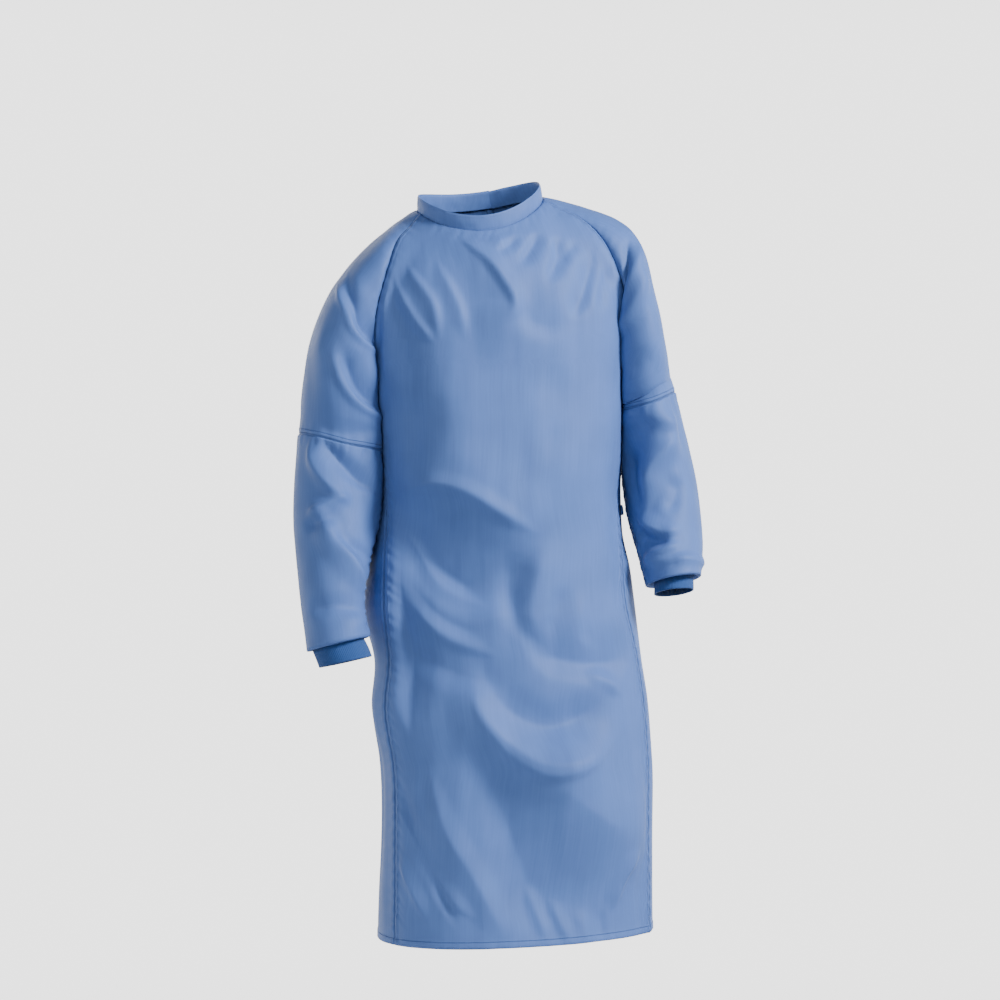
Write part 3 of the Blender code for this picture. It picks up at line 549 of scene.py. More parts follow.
def woven(name, color, streak, grain, weave=0.00055, rough=0.60, sheen=0.02, seams=False):
    """Cloth that follows its own UV map, which is in metres."""
    material, shader = new_material(name, rough)
    tree = material.node_tree
    shader.inputs["Sheen Weight"].default_value = sheen
    shader.inputs["Sheen Roughness"].default_value = SHEEN_SPREAD
    shader.inputs["Specular IOR Level"].default_value = CLOTH_GLOSS
    place = node(tree, "ShaderNodeUVMap", {}).outputs["UV"]
    drawn = node(tree, "ShaderNodeMapping", {"Vector": place, "Scale": STREAK_SCALE}).outputs[0]
    fed = {"Vector": drawn, "Scale": 1.0, "Detail": 5.0}
    streaks = node(tree, "ShaderNodeTexNoise", fed).outputs["Fac"]
    fed = {"Vector": place, "Scale": BROAD_SCALE, "Detail": 2.0}
    broad = node(tree, "ShaderNodeTexNoise", fed).outputs["Fac"]
    dark = tuple(c * (1 - STREAK_TONE * streak) for c in color)
    light = tuple(min(1, c * (1 + STREAK_TONE * streak)) for c in color)
    share = worked(tree, "MULTIPLY", worked(tree, "ADD", streaks, broad), 0.5)
    tone = mixed(tree, "MIX", share, (*dark, 1), (*light, 1))

    fed = {"Vector": place, "Scale": WAVES_A_METRE / weave, "Distortion": THREAD_WANDER}
    warp, weft = (
        node(tree, "ShaderNodeTexWave", fed, wave_type="BANDS", bands_direction=axis).outputs["Fac"]
        for axis in ("X", "Y")
    )
    relief = worked(tree, "ADD", worked(tree, "MULTIPLY", warp, weft), streaks)
    fed = {"Strength": grain, "Distance": WEAVE_DEEP, "Height": relief}
    if seams:
        line = seam_lines(tree)
        sunk = {"Distance": GROOVE_DEEP, "Height": line}
        fed["Normal"] = node(tree, "ShaderNodeBump", sunk, invert=True).outputs[0]
        # The colour is darkened along the stitching grooves: painted shade, on top of the sunk
        # bump.
        tone = mixed(tree, "MULTIPLY", line, tone, (GROOVE_PAINTED_SHADE, GROOVE_PAINTED_SHADE, GROOVE_PAINTED_SHADE, 1))
    tree.links.new(node(tree, "ShaderNodeBump", fed).outputs[0], shader.inputs["Normal"])
    tree.links.new(tone, shader.inputs["Base Color"])
    return material


def grid_faces(rows, columns):
    """Corners of the faces between neighbouring rows and columns."""
    index = np.arange(rows * columns).reshape(rows, columns)
    corners = [index[:-1, :-1], index[1:, :-1], index[1:, 1:], index[:-1, 1:]]
    return np.stack(corners, axis=-1).reshape(-1, 4)


def mesh_piece(name, points, faces, material, **maps):
    """A smooth mesh with a material and named UV maps, each given point by point."""
    data = bpy.data.meshes.new(name)
    data.from_pydata(points.reshape(-1, 3).tolist(), [], faces.tolist())
    for map_name, spots in maps.items():
        layer = data.uv_layers.new(name=map_name)
        layer.data.foreach_set("uv", spots.reshape(-1, 2)[faces.ravel()].ravel())
    data.polygons.foreach_set("use_smooth", np.ones(len(faces), bool))
    data.materials.append(material)
    piece = bpy.data.objects.new(name, data)
    bpy.context.scene.collection.objects.link(piece)
    return piece


def cloth_piece(name, grid, material, thick=CLOTH_THICK, seams=None):
    """A panel of cloth: its outer face is the grid and its thickness goes inward."""
    across = along_rows(grid)
    across = across - across[:, -1:] / 2
    down = np.broadcast_to(along_columns(grid)[:, [grid.shape[1] // 2]], across.shape)
    maps = {"UVMap": np.stack([across, -down], axis=-1)}
    if seams is not None:
        maps["seams"] = np.stack(seams, axis=-1)
    piece = mesh_piece(name, grid, grid_faces(*grid.shape[:2]), material, **maps)
    if thick:
        wall = piece.modifiers.new("thickness", "SOLIDIFY")
        wall.thickness = thick
        wall.offset = -1
        wall.use_even_offset = False
    return piece


def dresses(piece, solid):
    """Puts a piece in the place of its solid; all of the gown moves as one."""
    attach(piece, "root")
    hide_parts(solid)


def cut_from(piece, solid, slot, flat, area=None):
    """The same for cloth; the flat width and length of its cut and its area are not used."""
    dresses(piece, solid)


cloth = woven("gown_cloth", CLOTH_COLOR, streak=0.12, grain=0.16, seams=True)

# The front is cut in one piece from neck to hem, with no opening. The pull of the
# waist tapes on its sides and the wearer's step give it a broad swag over the thighs,
# a hollow at the right waist and long pulls from the raglan seams.
BODY_ROWS = 224
FRONT_COLUMNS = 164
EASE_ROWS = 16
EASE_REACH = 1.6
EASE_TURNS = 220
FRONT_FOLDS = [
    (45, 15, 0.85, 0.25, (278, 51), (453, 84), (523, 125), (535, 156), (500, 182), (453, 205)),
    (8, 3, 0.7, 0, (535, 56), (547, 76), (558, 93)),
    (7, -5, 0.9, 0.1, (649, 65), (570, 79), (523, 87)),
    (8, -6.5, 0.9, 0.2, (742, 73), (660, 90), (581, 110)),
    (9, -7.5, 0.9, 0.2, (797, 87), (742, 110), (649, 140)),
    (8, -3.5, 0.7, 0.1, (873, 102), (788, 110), (742, 119)),
    (12, -9, 0.9, -0.2, (898, 119), (779, 156), (702, 192)),
    (10, -4, 0.7, -0.1, (959, 140), (852, 162), (814, 188)),
    (24, -6, 0.6, 0.3, (570, 146), (581, 188), (681, 202)),
    (24, -7, 0.8, 0.2, (114, 146), (186, 202), (186, 300)),
    (7, 4.5, 0.95, -0.2, (79, 128), (178, 165), (248, 198), (288, 216)),
    (7, 4.5, 0.95, -0.2, (120, 110), (268, 156), (308, 219)),
    (8, 4.5, 0.95, -0.2, (248, 93), (351, 153), (384, 216)),
    (40, 10, 0.7, 0.1, (308, 223), (329, 346), (329, 419)),
    (30, -5, 0.3, 0, (195, 300), (195, 346), (195, 404)),
    (26, -4, 0.5, 0, (638, 251), (649, 323), (604, 396)),
    (38, 14, 0.8, 0.1, (79, 442), (230, 423), (351, 435), (488, 473), (604, 504)),
    (44, -27, 0.85, 0.38, (69, 496), (186, 542), (308, 573), (453, 604)),
    (18, -6, 0.8, 0.2, (523, 527), (500, 569), (512, 615), (535, 661)),
    (24, 10, 0.9, 0.4, (616, 511), (604, 561), (570, 619), (593, 661)),
    (9, 4, 0.95, 0, (85, 492), (221, 573), (419, 611)),
    (20, -8, 0.85, 0.3, (85, 561), (230, 623), (419, 657)),
    (9, 4, 0.95, 0, (102, 600), (239, 650), (430, 684)),
    (24, -8, 0.7, 0.3, (69, 665), (248, 703), (453, 727)),
    (24, -14, 0.4, 0.3, (69, 538), (79, 627), (96, 715), (114, 803)),
    (16, 4, 0.8, -0.2, (805, 588), (752, 631), (732, 661), (797, 680)),
    (14, -4, 0.7, 0.1, (712, 584), (671, 619), (604, 654)),
    (26, -13, 0.9, 0.3, (535, 669), (649, 688), (814, 696), (968, 684)),
    (34, 21, 0.9, 0, (298, 677), (351, 753), (442, 811), (558, 842), (702, 834), (852, 788)),
    (24, -14, 0.85, 0, (351, 692), (442, 757), (570, 788), (712, 773), (822, 742)),
    (10, 5, 0.8, 0.1, (732, 711), (814, 723), (866, 746)),
    (11, 6, 0.95, 0.3, (319, 730), (373, 784), (442, 830), (558, 857), (702, 845), (859, 796)),
    (9, 6.5, 0.95, 0.3, (319, 51), (465, 93), (523, 137), (535, 165), (500, 185)),
    (11, 6, 0.95, 0, (85, 450), (230, 427), (340, 435), (477, 473), (604, 504)),
    (80, -20, 0.4, 0, (465, 1045), (649, 1053), (880, 1076)),
    (9, 3.5, 0.9, 0.2, (64, 140), (108, 202), (114, 281)),
    (46, -15, 0.85, 0.2, (329, 799), (396, 903), (488, 1007), (558, 1099)),
    (16, 8, 0.9, -0.1, (141, 834), (212, 934), (288, 991), (373, 1061), (407, 1099)),
    (11, -7.5, 0.9, 0.2, (12, 849), (79, 938), (178, 1011), (258, 1084)),
    (58, 19, 0.9, 0.1, (523, 849), (638, 892), (770, 934), (936, 976)),
    (9, 5, 0.95, 0.1, (488, 1018), (523, 1061), (558, 1103)),
    (8, 4.5, 0.95, 0.2, (0, 895), (114, 968), (230, 1037), (319, 1068)),
    (8, 4, 0.95, 0.2, (570, 1041), (604, 1076), (638, 1107)),
    (10, 7, 0.95, -0.3, (921, 980), (852, 1022), (814, 1072)),
    (10, 3, 0.6, 0, (681, 1068), (692, 1087), (702, 1110)),
    (10, -3, 0.6, 0, (752, 1064), (770, 1091), (770, 1110)),
    (9, 5.5, 0.95, 0.2, (4, 965), (74, 1018), (155, 1076)),
]
SLACK = [
    (0.16, 0.26, 0.0030),
    (0.055, 0.10, 0.0010),
    (0.026, 0.24, 0.0012),
    (0.014, 0.10, 0.0004),
]


def eased(grid):
    """Rounds the bend where the yoke runs into the body, away from the seams."""
    from_bend = np.abs(np.arange(len(grid)) - YOKE_ROWS) / EASE_ROWS
    weight = smooth(EASE_REACH - from_bend)[:, None] * edge_fade(grid) / 2
    for _ in range(EASE_TURNS):
        mean = grid.copy()
        mean[1:-1] = (grid[:-2] + grid[2:]) / 2
        grid = grid + weight[..., None] * (mean - grid)
    return grid


def body_grid(sector, shares, lift=0.0):
    """A front or back from the neck seam to the hem."""
    drops = np.linspace(0, 1, BODY_ROWS + 1)[1:]
    rows = [body_ring(sector, shares, drop, lift) for drop in drops]
    return eased(np.concatenate([yoke(sector, shares, lift), rows]))


front_shares = crowded(FRONT_COLUMNS, 0.5)
front = body_grid("front", front_shares)
front_out = normals(front)
front_levels = -front[:, FRONT_COLUMNS // 2, 2]
front_push = fold_depth(front, front_out, front_levels, front_shares, FRONT_FOLDS)
front_push += uneven(front, 1, SLACK)
front_push *= edge_fade(front)

# The back is two panels cut to lap over each other by more than a hand, the left
# over the right. Each free edge is turned twice and stitched. The tapes pull the
# cloth in at the waist, and below them it falls in long soft folds.
BACK_COLUMNS = 120
WRAP_START, WRAP_END = 0.35, 0.65
WRAP_RAMP = 0.15
WRAP_LIFT = 0.0034
BACK_FOLDS = [
    (32, 10.5, 0, 0, (85, 270), (85, 390), (85, 530)),
    (32, 8, 0, 0, (920, 270), (920, 400), (920, 570)),
    (22, 6, 0.45, 0.2, (120, 80), (200, 160), (240, 260)),
    (22, 6, 0.45, -0.2, (900, 80), (820, 170), (770, 280)),
    (14, -3.5, 0.45, 0.1, (220, 70), (270, 130), (290, 210)),
    (14, -3.5, 0.45, 0.1, (790, 70), (740, 140), (710, 220)),
    (50, -10, 0, 0, (360, 180), (340, 300), (400, 420)),
    (20, 5, 0.3, 0.1, (600, 160), (640, 300), (600, 430)),
    (18, -7, 0.7, 0.3, (100, 400), (260, 450), (420, 490)),
    (18, -7, 0.7, -0.3, (920, 390), (760, 440), (600, 490)),
    (14, 5, 0.7, 0.2, (80, 440), (200, 500), (340, 540)),
    (14, 5, 0.7, 0.2, (940, 430), (820, 490), (680, 540)),
    (12, -4, 0.7, 0.1, (240, 360), (340, 420), (440, 470)),
    (12, -4, 0.7, 0.1, (780, 350), (680, 410), (570, 470)),
    (26, 8, 0.15, 0.1, (360, 530), (280, 640), (240, 820)),
    (26, 8, 0.15, -0.1, (660, 530), (740, 650), (790, 840)),
    (16, 5, 0.7, 0.2, (440, 520), (420, 600), (370, 700)),
    (14, -4.5, 0.7, 0.1, (550, 530), (570, 610), (610, 720)),
    (30, -10, 0.15, 0.2, (180, 660), (140, 860), (130, 1100)),
    (30, -10, 0.15, -0.2, (860, 620), (890, 840), (880, 1100)),
    (34, 9, 0.15, 0, (270, 880), (250, 1000), (240, 1120)),
    (34, 9, 0.15, 0, (730, 900), (750, 1020), (750, 1120)),
    (20, -5, 0.3, 0.1, (520, 800), (530, 950), (520, 1100)),
    (18, 4.5, 0.3, 0.1, (410, 840), (400, 980), (410, 1110)),
]


def lapped(share):
    """How far the left back stands off the right one, by place across the back."""
    return WRAP_LIFT * smooth((share - WRAP_START + WRAP_RAMP) / WRAP_RAMP)


back_shares = crowded(BACK_COLUMNS, 0.35)
under = body_grid("back", back_shares)
over = body_grid("back", back_shares, lapped(back_shares))
under_out, over_out = normals(under), normals(over)
back_levels = -under[:, BACK_COLUMNS // 2, 2]
back_push = fold_depth(under, under_out, back_levels, back_shares, BACK_FOLDS)
back_push += uneven(under, 2, SLACK)
back_push *= edge_fade(under)

# Each sleeve is two pieces: a raglan top from the neck to the elbow, with its seam
# under the arm, and a lower sleeve gathered a little into the elbow seam. It hangs
# in diagonal folds from the shoulder and breaks where the elbow bends.
UPPER_ROWS = 34
LOWER_ROWS = 84
SLEEVE_COLUMNS = 96
SLEEVE_FOLDS = {
    "right": [
        (34, 13, 0, 0, (950, 1050), (950, 1900), (950, 2700)),
        (36, 17, 0, 0, (870, 600), (870, 1200), (880, 1800), (880, 2400)),
        (6, 6, 0.95, 0, (500, 520), (720, 730), (787, 850), (925, 940)),
        (11, -12.5, 0.9, 0.3, (620, 520), (754, 730), (828, 830), (925, 890)),
        (6, 6.5, 0.95, 0, (708, 910), (732, 1150), (798, 1440), (948, 1710)),
        (12, -12.5, 0.9, 0.3, (743, 920), (777, 1180), (828, 1380), (925, 1530)),
        (20, 6, 0.6, 0, (633, 830), (684, 1180), (720, 1710)),
        (12, -6, 0.7, 0.1, (646, 1910), (743, 1940), (883, 1790)),
        (11, 12, 0.95, 0.2, (620, 2020), (659, 2150), (720, 2250), (798, 2350)),
        (10, -11.5, 0.9, 0, (671, 2000), (766, 2120), (909, 2260)),
        (9, 9.5, 0.95, -0.2, (633, 2420), (696, 2380), (798, 2270)),
        (9, -8, 0.8, 0, (620, 2460), (684, 2480), (732, 2430)),
        (13, 15, 0.95, -0.2, (684, 2360), (720, 2520), (818, 2710), (963, 2880)),
        (9, -6.5, 0.9, 0, (743, 2510), (798, 2600), (971, 2680)),
        (12, -8, 0.8, 0.1, (594, 2870), (696, 2870), (787, 2880), (963, 2930)),
        (14, 8, 0.8, 0.1, (684, 3000), (777, 2980), (963, 2920)),
        (20, 8.1, 0.3, 0.1, (350, 620), (270, 900), (220, 1500)),
        (13, -6.1, 0.45, 0.1, (420, 800), (360, 1100), (330, 1600)),
        (16, -8.1, 0.7, 0.2, (140, 1900), (250, 2050), (400, 2120)),
        (14, 6.8, 0.7, 0.2, (100, 2050), (240, 2180), (400, 2240)),
        (16, 8.1, 0.7, 0.2, (120, 2300), (220, 2500), (360, 2660)),
        (12, -5.4, 0.7, 0.1, (140, 2660), (280, 2780), (420, 2840)),
    ],
    "left": [
        (26, 18, 0, 0, (50, 1000), (50, 1850), (50, 2600)),
        (34, 19, 0, 0, (130, 550), (130, 1100), (120, 1700), (120, 2400)),
        (6, -7, 0.95, 0, (292, 470), (153, 580), (83, 800)),
        (7, 6, 0.95, 0, (367, 530), (213, 650), (100, 800)),
        (12, 11, 0.9, -0.3, (268, 640), (213, 770), (37, 920)),
        (16, -5, 0.5, 0, (125, 1210), (234, 1150), (268, 1760)),
        (14, 7, 0.8, 0, (37, 2020), (202, 2070), (292, 2170)),
        (11, 8, 0.9, 0, (202, 1970), (257, 2100), (304, 2170)),
        (19, 21, 0.95, -0.3, (304, 2150), (246, 2260), (182, 2430), (125, 2710)),
        (14, -11, 0.9, 0.2, (108, 2170), (108, 2420), (125, 2670)),
        (10, 11, 0.95, 0.2, (75, 2670), (143, 2750), (202, 2790), (280, 2760)),
        (10, -11, 0.9, 0, (7, 2770), (143, 2820), (234, 2800)),
        (9, 9.5, 0.95, 0, (985, 2960), (134, 2920), (202, 2870), (268, 2850)),
        (9, -6, 0.9, 0, (108, 2990), (192, 2950), (246, 2940)),
        (10, -6, 0.8, 0, (280, 2480), (268, 2580), (223, 2680)),
        (12, 4, 0.7, 0, (316, 2240), (280, 2370), (280, 2520)),
        (20, 8.1, 0.3, 0.1, (650, 600), (730, 880), (780, 1400)),
        (13, -6.1, 0.45, 0.1, (580, 800), (640, 1100), (670, 1600)),
        (16, -8.1, 0.7, 0.2, (840, 1900), (740, 2050), (600, 2120)),
        (14, 6.8, 0.7, 0.2, (900, 2050), (760, 2180), (600, 2240)),
        (16, 8.1, 0.7, 0.2, (860, 2300), (770, 2500), (640, 2660)),
        (12, -5.4, 0.7, 0.1, (860, 2660), (720, 2780), (580, 2840)),
    ],
}
SLEEVE_SLACK = [(0.09, 0.14, 0.0022), (0.035, 0.06, 0.0009), (0.018, 0.05, 0.0004)]
GATHER = 0.013
GATHER_HEIGHT = 0.0024
GATHER_START, GATHER_REACH = 0.003, 0.016
GATHER_WANDER, GATHER_LEAST = 4, 0.6
GATHER_DRIFT = [(0.03, 0.2, 1.0)]
ELBOW = YOKE_ROWS + UPPER_ROWS
ELBOW_PULL = 0.5
ELBOW_CALM, ELBOW_CALM_WIDE = 0.15, 0.012
ELBOW_FELL, ELBOW_FELL_EDGE = 0.4, 0.001
CLOSED_FADE = 3
WRIST, WRIST_REACH, WRIST_KEEP = 2.88, 0.12, 1.15
stations = np.concatenate([
    np.linspace(0, 1, YOKE_ROWS + 1),
    np.linspace(1, 2, UPPER_ROWS + 1)[1:],
    np.linspace(2, 3, LOWER_ROWS + 1)[1:],
])


def sleeve_grid(side, shares):
    """Whole sleeve from the neck seam to where it is sewn to the cuff."""
    below = stations[YOKE_ROWS + 1:]
    rows = [sleeve_ring(side, shares, s) + start_shift(side, s) for s in below]
    return eased(np.concatenate([yoke(side, shares), rows]))


def tube_normals(grid, closed_from):
    """Outward directions of a sleeve, which closes round below the given row."""
    across = np.gradient(grid, axis=1)
    wrap = (grid[:, 1] - grid[:, -2])[closed_from:]
    across[closed_from:, 0] = wrap
    across[closed_from:, -1] = wrap
    return unit(np.cross(np.gradient(grid, axis=0), across))


def gathers(from_elbow, across, drift):
    """The small pleats of the lower sleeve where it is eased into the elbow seam."""
    past = np.exp(-np.clip(from_elbow, 0, None) / GATHER_REACH)
    wave = np.sin(2 * math.pi * across / GATHER + GATHER_WANDER * drift)
    wave *= GATHER_LEAST + drift
    return GATHER_HEIGHT * smooth(from_elbow / GATHER_START) * past * wave


sleeve_shares = crowded(SLEEVE_COLUMNS, 0.3)
sleeves, sleeve_out, sleeve_push = {}, {}, {}
for seed, side in enumerate(("right", "left")):
    grid = sleeve_grid(side, sleeve_shares)
    outward = tube_normals(grid, YOKE_ROWS + 1)
    push = fold_depth(grid, outward, stations, sleeve_shares, SLEEVE_FOLDS[side])
    push += uneven(grid, 5 + seed, SLEEVE_SLACK)
    station = stations[:, None]
    fade = edge_fade(grid)
    fade += (1 - fade) * smooth((station - 1) * CLOSED_FADE)
    fade *= smooth(WRIST_KEEP - np.clip(station - WRIST, 0, 1) / WRIST_REACH)
    run, across = along_columns(grid), along_rows(grid)
    from_elbow = run - run[ELBOW]
    push *= fade * (1 - ELBOW_CALM * np.exp(-((from_elbow / ELBOW_CALM_WIDE) ** 2)))
    push += ELBOW_PULL * seam_relief(np.abs(from_elbow), across, 20 + seed, fell=False)
    felled = smooth((from_elbow + FELL) / ELBOW_FELL_EDGE) * (from_elbow < 0)
    push += ELBOW_FELL * FELL_RISE * felled
    push += gathers(from_elbow, across, uneven(grid, 9 + seed, GATHER_DRIFT))
    sleeves[side], sleeve_out[side], sleeve_push[side] = grid, outward, push

# The body is sewn together first. Two pieces share the direction in which their seam
# sinks. Above the armpit the raglan seam lies almost flat, so the cloth on both sides
# is carried out over the hollow between arm and body.
FILL_ROWS = 0, 8, 18, 28, 42, 66, 84, 98
FILL = 0, 0.001, 0.011, 0.022, 0.025, 0.017, 0.005, 0
FILL_REACH = 0.050
raglan, side_seam = slice(0, YOKE_ROWS + 1), slice(YOKE_ROWS + 1, None)


def meet(mine, my_place, other, other_place):
    """Gives two borders that are sewn together one outward direction."""
    both = unit(mine[my_place] + other[other_place])
    mine[my_place] = both
    other[other_place] = both


def filled(grid, outward, *columns):
    """A piece whose cloth beside raglan seams is carried out along each seam's direction."""
    amount = np.interp(np.arange(len(grid)), FILL_ROWS, FILL)
    total = grid
    for column in columns:
        distance = np.linalg.norm(grid - grid[:, [column]], axis=-1)
        facing = outward[:, column].copy()
        facing[side_seam] = facing[YOKE_ROWS]
        share = 1 - smooth(distance / FILL_REACH)
        total = total + (amount[:, None] * share)[..., None] * facing[:, None]
    return total


def sewn(grid, outward, push, seamed, seed):
    """The finished face of a panel, with what its seams and hem do to it."""
    across, run = along_rows(grid), along_columns(grid)
    sides = {"first": across, "last": across[:, -1:] - across}
    total = push.copy()
    pull = np.where(np.arange(len(grid)) > YOKE_ROWS, SIDE_PULL, RAGLAN_PULL)[:, None]
    for k, name in enumerate(sides):
        if name in seamed:
            total += seam_relief(sides[name], run, seed + k, pucker=pull)
    total += seam_relief(run, across, seed + 2, fell=False, pucker=RAGLAN_PULL)
    return grid + outward * (total + hem_relief(run[-1:] - run))[..., None]


def panel(name, face, seamed):
    """A panel of the body: two rows of stitching beside a seam, one along an edge."""
    across, down = along_rows(face), along_columns(face)
    sides = {"first": across, "last": across[:, -1:] - across}
    beside = [sides[name] for name in seamed]
    edges = [sides[name] for name in sides if name not in seamed] + [down[-1:] - down]
    lines = np.minimum.reduce(beside), np.minimum.reduce(edges)
    return cloth_piece(name, face, cloth, seams=lines)


meet(front_out, (side_seam, 0), under_out, (side_seam, -1))
meet(front_out, (side_seam, -1), over_out, (side_seam, 0))
meet(front_out, (raglan, 0), sleeve_out["right"], (raglan, -1))
meet(front_out, (raglan, -1), sleeve_out["left"], (raglan, 0))
meet(under_out, (raglan, -1), sleeve_out["right"], (raglan, 0))
meet(over_out, (raglan, 0), sleeve_out["left"], (raglan, -1))

front = filled(front, front_out, 0, -1)
under = filled(under, under_out, -1)
over = filled(over, over_out, 0)
left_end = int(np.searchsorted(back_shares, WRAP_END)) + 1
right_start = int(np.searchsorted(back_shares, WRAP_START)) - 1
front_face = sewn(front, front_out, front_push, ("first", "last"), 3)
over_face = sewn(over, over_out, back_push, ("first",), 6)[:, :left_end]
under_face = sewn(under, under_out, back_push, ("last",), 9)[:, right_start:]
front_panel = panel("front_cloth", front_face, ("first", "last"))
back_left = panel("back_left_cloth", over_face, ("first",))
back_right = panel("back_right_cloth", under_face, ("last",))
cut_from(front_panel, "front_panel", "cloth", (0.56, 1.16), 0.49)
cut_from(back_left, "back_left_panel", "cloth", (0.42, 1.16), 0.45)
cut_from(back_right, "back_right_panel", "cloth", (0.42, 1.16), 0.45)

# The sleeves are sewn on along their raglan seams and closed under the arm. Where one
# would press into the body its cloth gives way, so that the two just touch.
ARM_CLEAR = 0.0020
ARM_CLEAR_ROWS = 8
ARM_NEAR = 0.020
ARM_TURNS = 16
ARM_STEP = 0.0002
NO_SEAM = 1.0
UPPER_CUT = {"right": ((0.46, 0.46), 0.13), "left": ((0.46, 0.42), 0.12)}


def outer_faces(*grids):
    """Lookup of where the outer faces of some grids lie."""
    points, faces = [], []
    for grid in grids:
        faces += (len(points) + grid_faces(*grid.shape[:2])).tolist()
        points += grid.reshape(-1, 3).tolist()
    return BVHTree.FromPolygons(points, faces)


body_skin = outer_faces(front_face, over_face, under_face)


def kept_off(face):
    """Draws a sleeve in towards its own middle until it no longer presses on the body."""
    for i in range(YOKE_ROWS + 2, len(face)):
        clear = ARM_CLEAR * min(1, (i - YOKE_ROWS) / ARM_CLEAR_ROWS)
        middle = Vector(face[i].mean(axis=0))
        for j in range(face.shape[1]):
            point = Vector(face[i, j])
            for _ in range(ARM_TURNS):
                place, facing, _, away = body_skin.find_nearest(point)
                short = clear - (point - place).dot(facing)
                if away > ARM_NEAR or short <= 0:
                    break
                point += (middle - point).normalized() * (short + ARM_STEP)
            face[i, j] = point
    return face


def from_border(face):
    """Distance of each point from the nearer of the two side borders."""
    across = along_rows(face)
    return np.minimum(across, across[:, -1:] - across)


sleeve_faces = {}
for seed, side in enumerate(("right", "left")):
    grid = filled(sleeves[side], sleeve_out[side], 0, -1)
    run, across = along_columns(grid), along_rows(grid)
    far = across[:, -1:] - across
    total = sleeve_push[side].copy()
    total[raglan] += seam_relief(across, run, 30 + seed, False, RAGLAN_PULL)[raglan]
    total[raglan] += seam_relief(far, run, 34 + seed, False, RAGLAN_PULL)[raglan]
    total[side_seam] += seam_relief(np.minimum(across, far), run, 38 + seed)[side_seam]
    total += seam_relief(run, across, 42 + seed, False, RAGLAN_PULL)
    face = kept_off(grid + sleeve_out[side] * total[..., None])
    sleeve_faces[side] = face
    under_arm, down = from_border(face), along_columns(face)
    under_arm[raglan] = NO_SEAM
    lines = np.minimum(under_arm, np.abs(down[ELBOW] - down)), np.full(down.shape, NO_SEAM)
    lines = [line[:ELBOW + 1] for line in lines]
    upper = cloth_piece(side + "_upper_sleeve_cloth", face[:ELBOW + 1], cloth, seams=lines)
    cut_from(upper, side + "_upper_sleeve", "cloth", *UPPER_CUT[side])

# The cuffs are tubes of rib knit, half the width of the sleeve. The sleeve end is
# turned up inside and eased onto the upper edge of the cuff.
Cuff = namedtuple("Cuff", "x y z across deep tilt pitch")
CUFFS = {
    "right": Cuff(-0.2145, -0.103, -0.691, 0.0390, 0.040, -12, 6),
    "left": Cuff(0.2875, -0.072, -0.591, 0.0300, 0.036, 4, 12),
}
LOWER_CUT = {"right": ((0.40, 0.36), 0.13), "left": ((0.40, 0.34), 0.12)}
CUFF_CUT = {"right": (0.25, 0.05), "left": (0.21, 0.042)}
KNIT_COLOR = (0.014, 0.050, 0.170)
KNIT_THICK = 0.0016
TURN_UP = 0.016
TURN_STEPS = 5
CUFF_EASE = 0.0025
CUFF_TOP = 0.97
CUFF_INSIDE = 0.0004
FOLD_DROP, FOLD_ROLL = 0.004, 0.4
RIBS = 92
RIB_STEPS = 4
RIB_HEIGHT = 0.00055
RIB_ROUND = 0.7
CUFF_ROWS = 22
CUFF_SLACK = [(0.03, 0.02, 0.0012)]


def cuff_grid(side, shares, rows):
    """A cuff, narrowing a little towards its upper edge inside the sleeve."""
    sign = 1 if side == "left" else -1
    c = CUFFS[side]
    ring = SLEEVES[side][-1]
    low = oval(sign, shares, *c)
    top_z = ring.z + TURN_UP
    lean = (top_z - c.z) / (ring.z - c.z)
    x, y = c.x + (ring.x - c.x) * lean, c.y + (ring.y - c.y) * lean
    wide, deep = c.across * CUFF_TOP, c.deep * CUFF_TOP
    top = oval(sign, shares, x, y, top_z, wide, deep, ring.tilt, ring.pitch)
    return top + (low - top) * np.linspace(0, 1, rows + 1)[:, None, None]


def turn_in(side, last, before):
    """Rows that roll under the fold and go up inside to the top of the cuff."""
    cuff = cuff_grid(side, sleeve_shares, 4)
    down = unit(last - before)
    outward = unit(last - last.mean(axis=0))
    beside = cuff[1] + CUFF_EASE * outward
    marks = np.array([
        last,
        last + FOLD_DROP * down + FOLD_ROLL * (beside - last),
        beside + FOLD_DROP * down,
        (cuff[1] + cuff[0]) / 2 + CUFF_EASE / 2 * outward,
        cuff[0] + CUFF_INSIDE * outward,
    ])
    at = np.linspace(0, 4, 4 * TURN_STEPS + 1)[1:]
    return cubic(np.arange(5), marks.reshape(5, -1), at).reshape(-1, *last.shape)


knit = woven("cuff_knit", KNIT_COLOR, streak=0.03, weave=0.0011, grain=0.35, rough=0.85, sheen=0.2)
rib_shares = np.linspace(0, 1, RIBS * RIB_STEPS + 1)
ribs = RIB_HEIGHT * (np.abs(np.sin(math.pi * rib_shares * RIBS)) ** RIB_ROUND - 1)
for seed, side in enumerate(("right", "left")):
    face = sleeve_faces[side]
    face = np.concatenate([face[ELBOW:], turn_in(side, face[-1], face[-3])])
    lines = from_border(face), np.full(face.shape[:2], NO_SEAM)
    lower = cloth_piece(side + "_lower_sleeve_cloth", face, cloth, seams=lines)
    cut_from(lower, side + "_lower_sleeve", "cloth", *LOWER_CUT[side])
    cuff = cuff_grid(side, rib_shares, CUFF_ROWS)
    rise = ribs + uneven(cuff, 50 + seed, CUFF_SLACK)
    cuff = cuff + tube_normals(cuff, 0) * rise[..., None]
    knitted = cloth_piece(side + "_cuff_knit", cuff, knit, thick=KNIT_THICK)
    cut_from(knitted, side + "_cuff", "knit", CUFF_CUT[side])

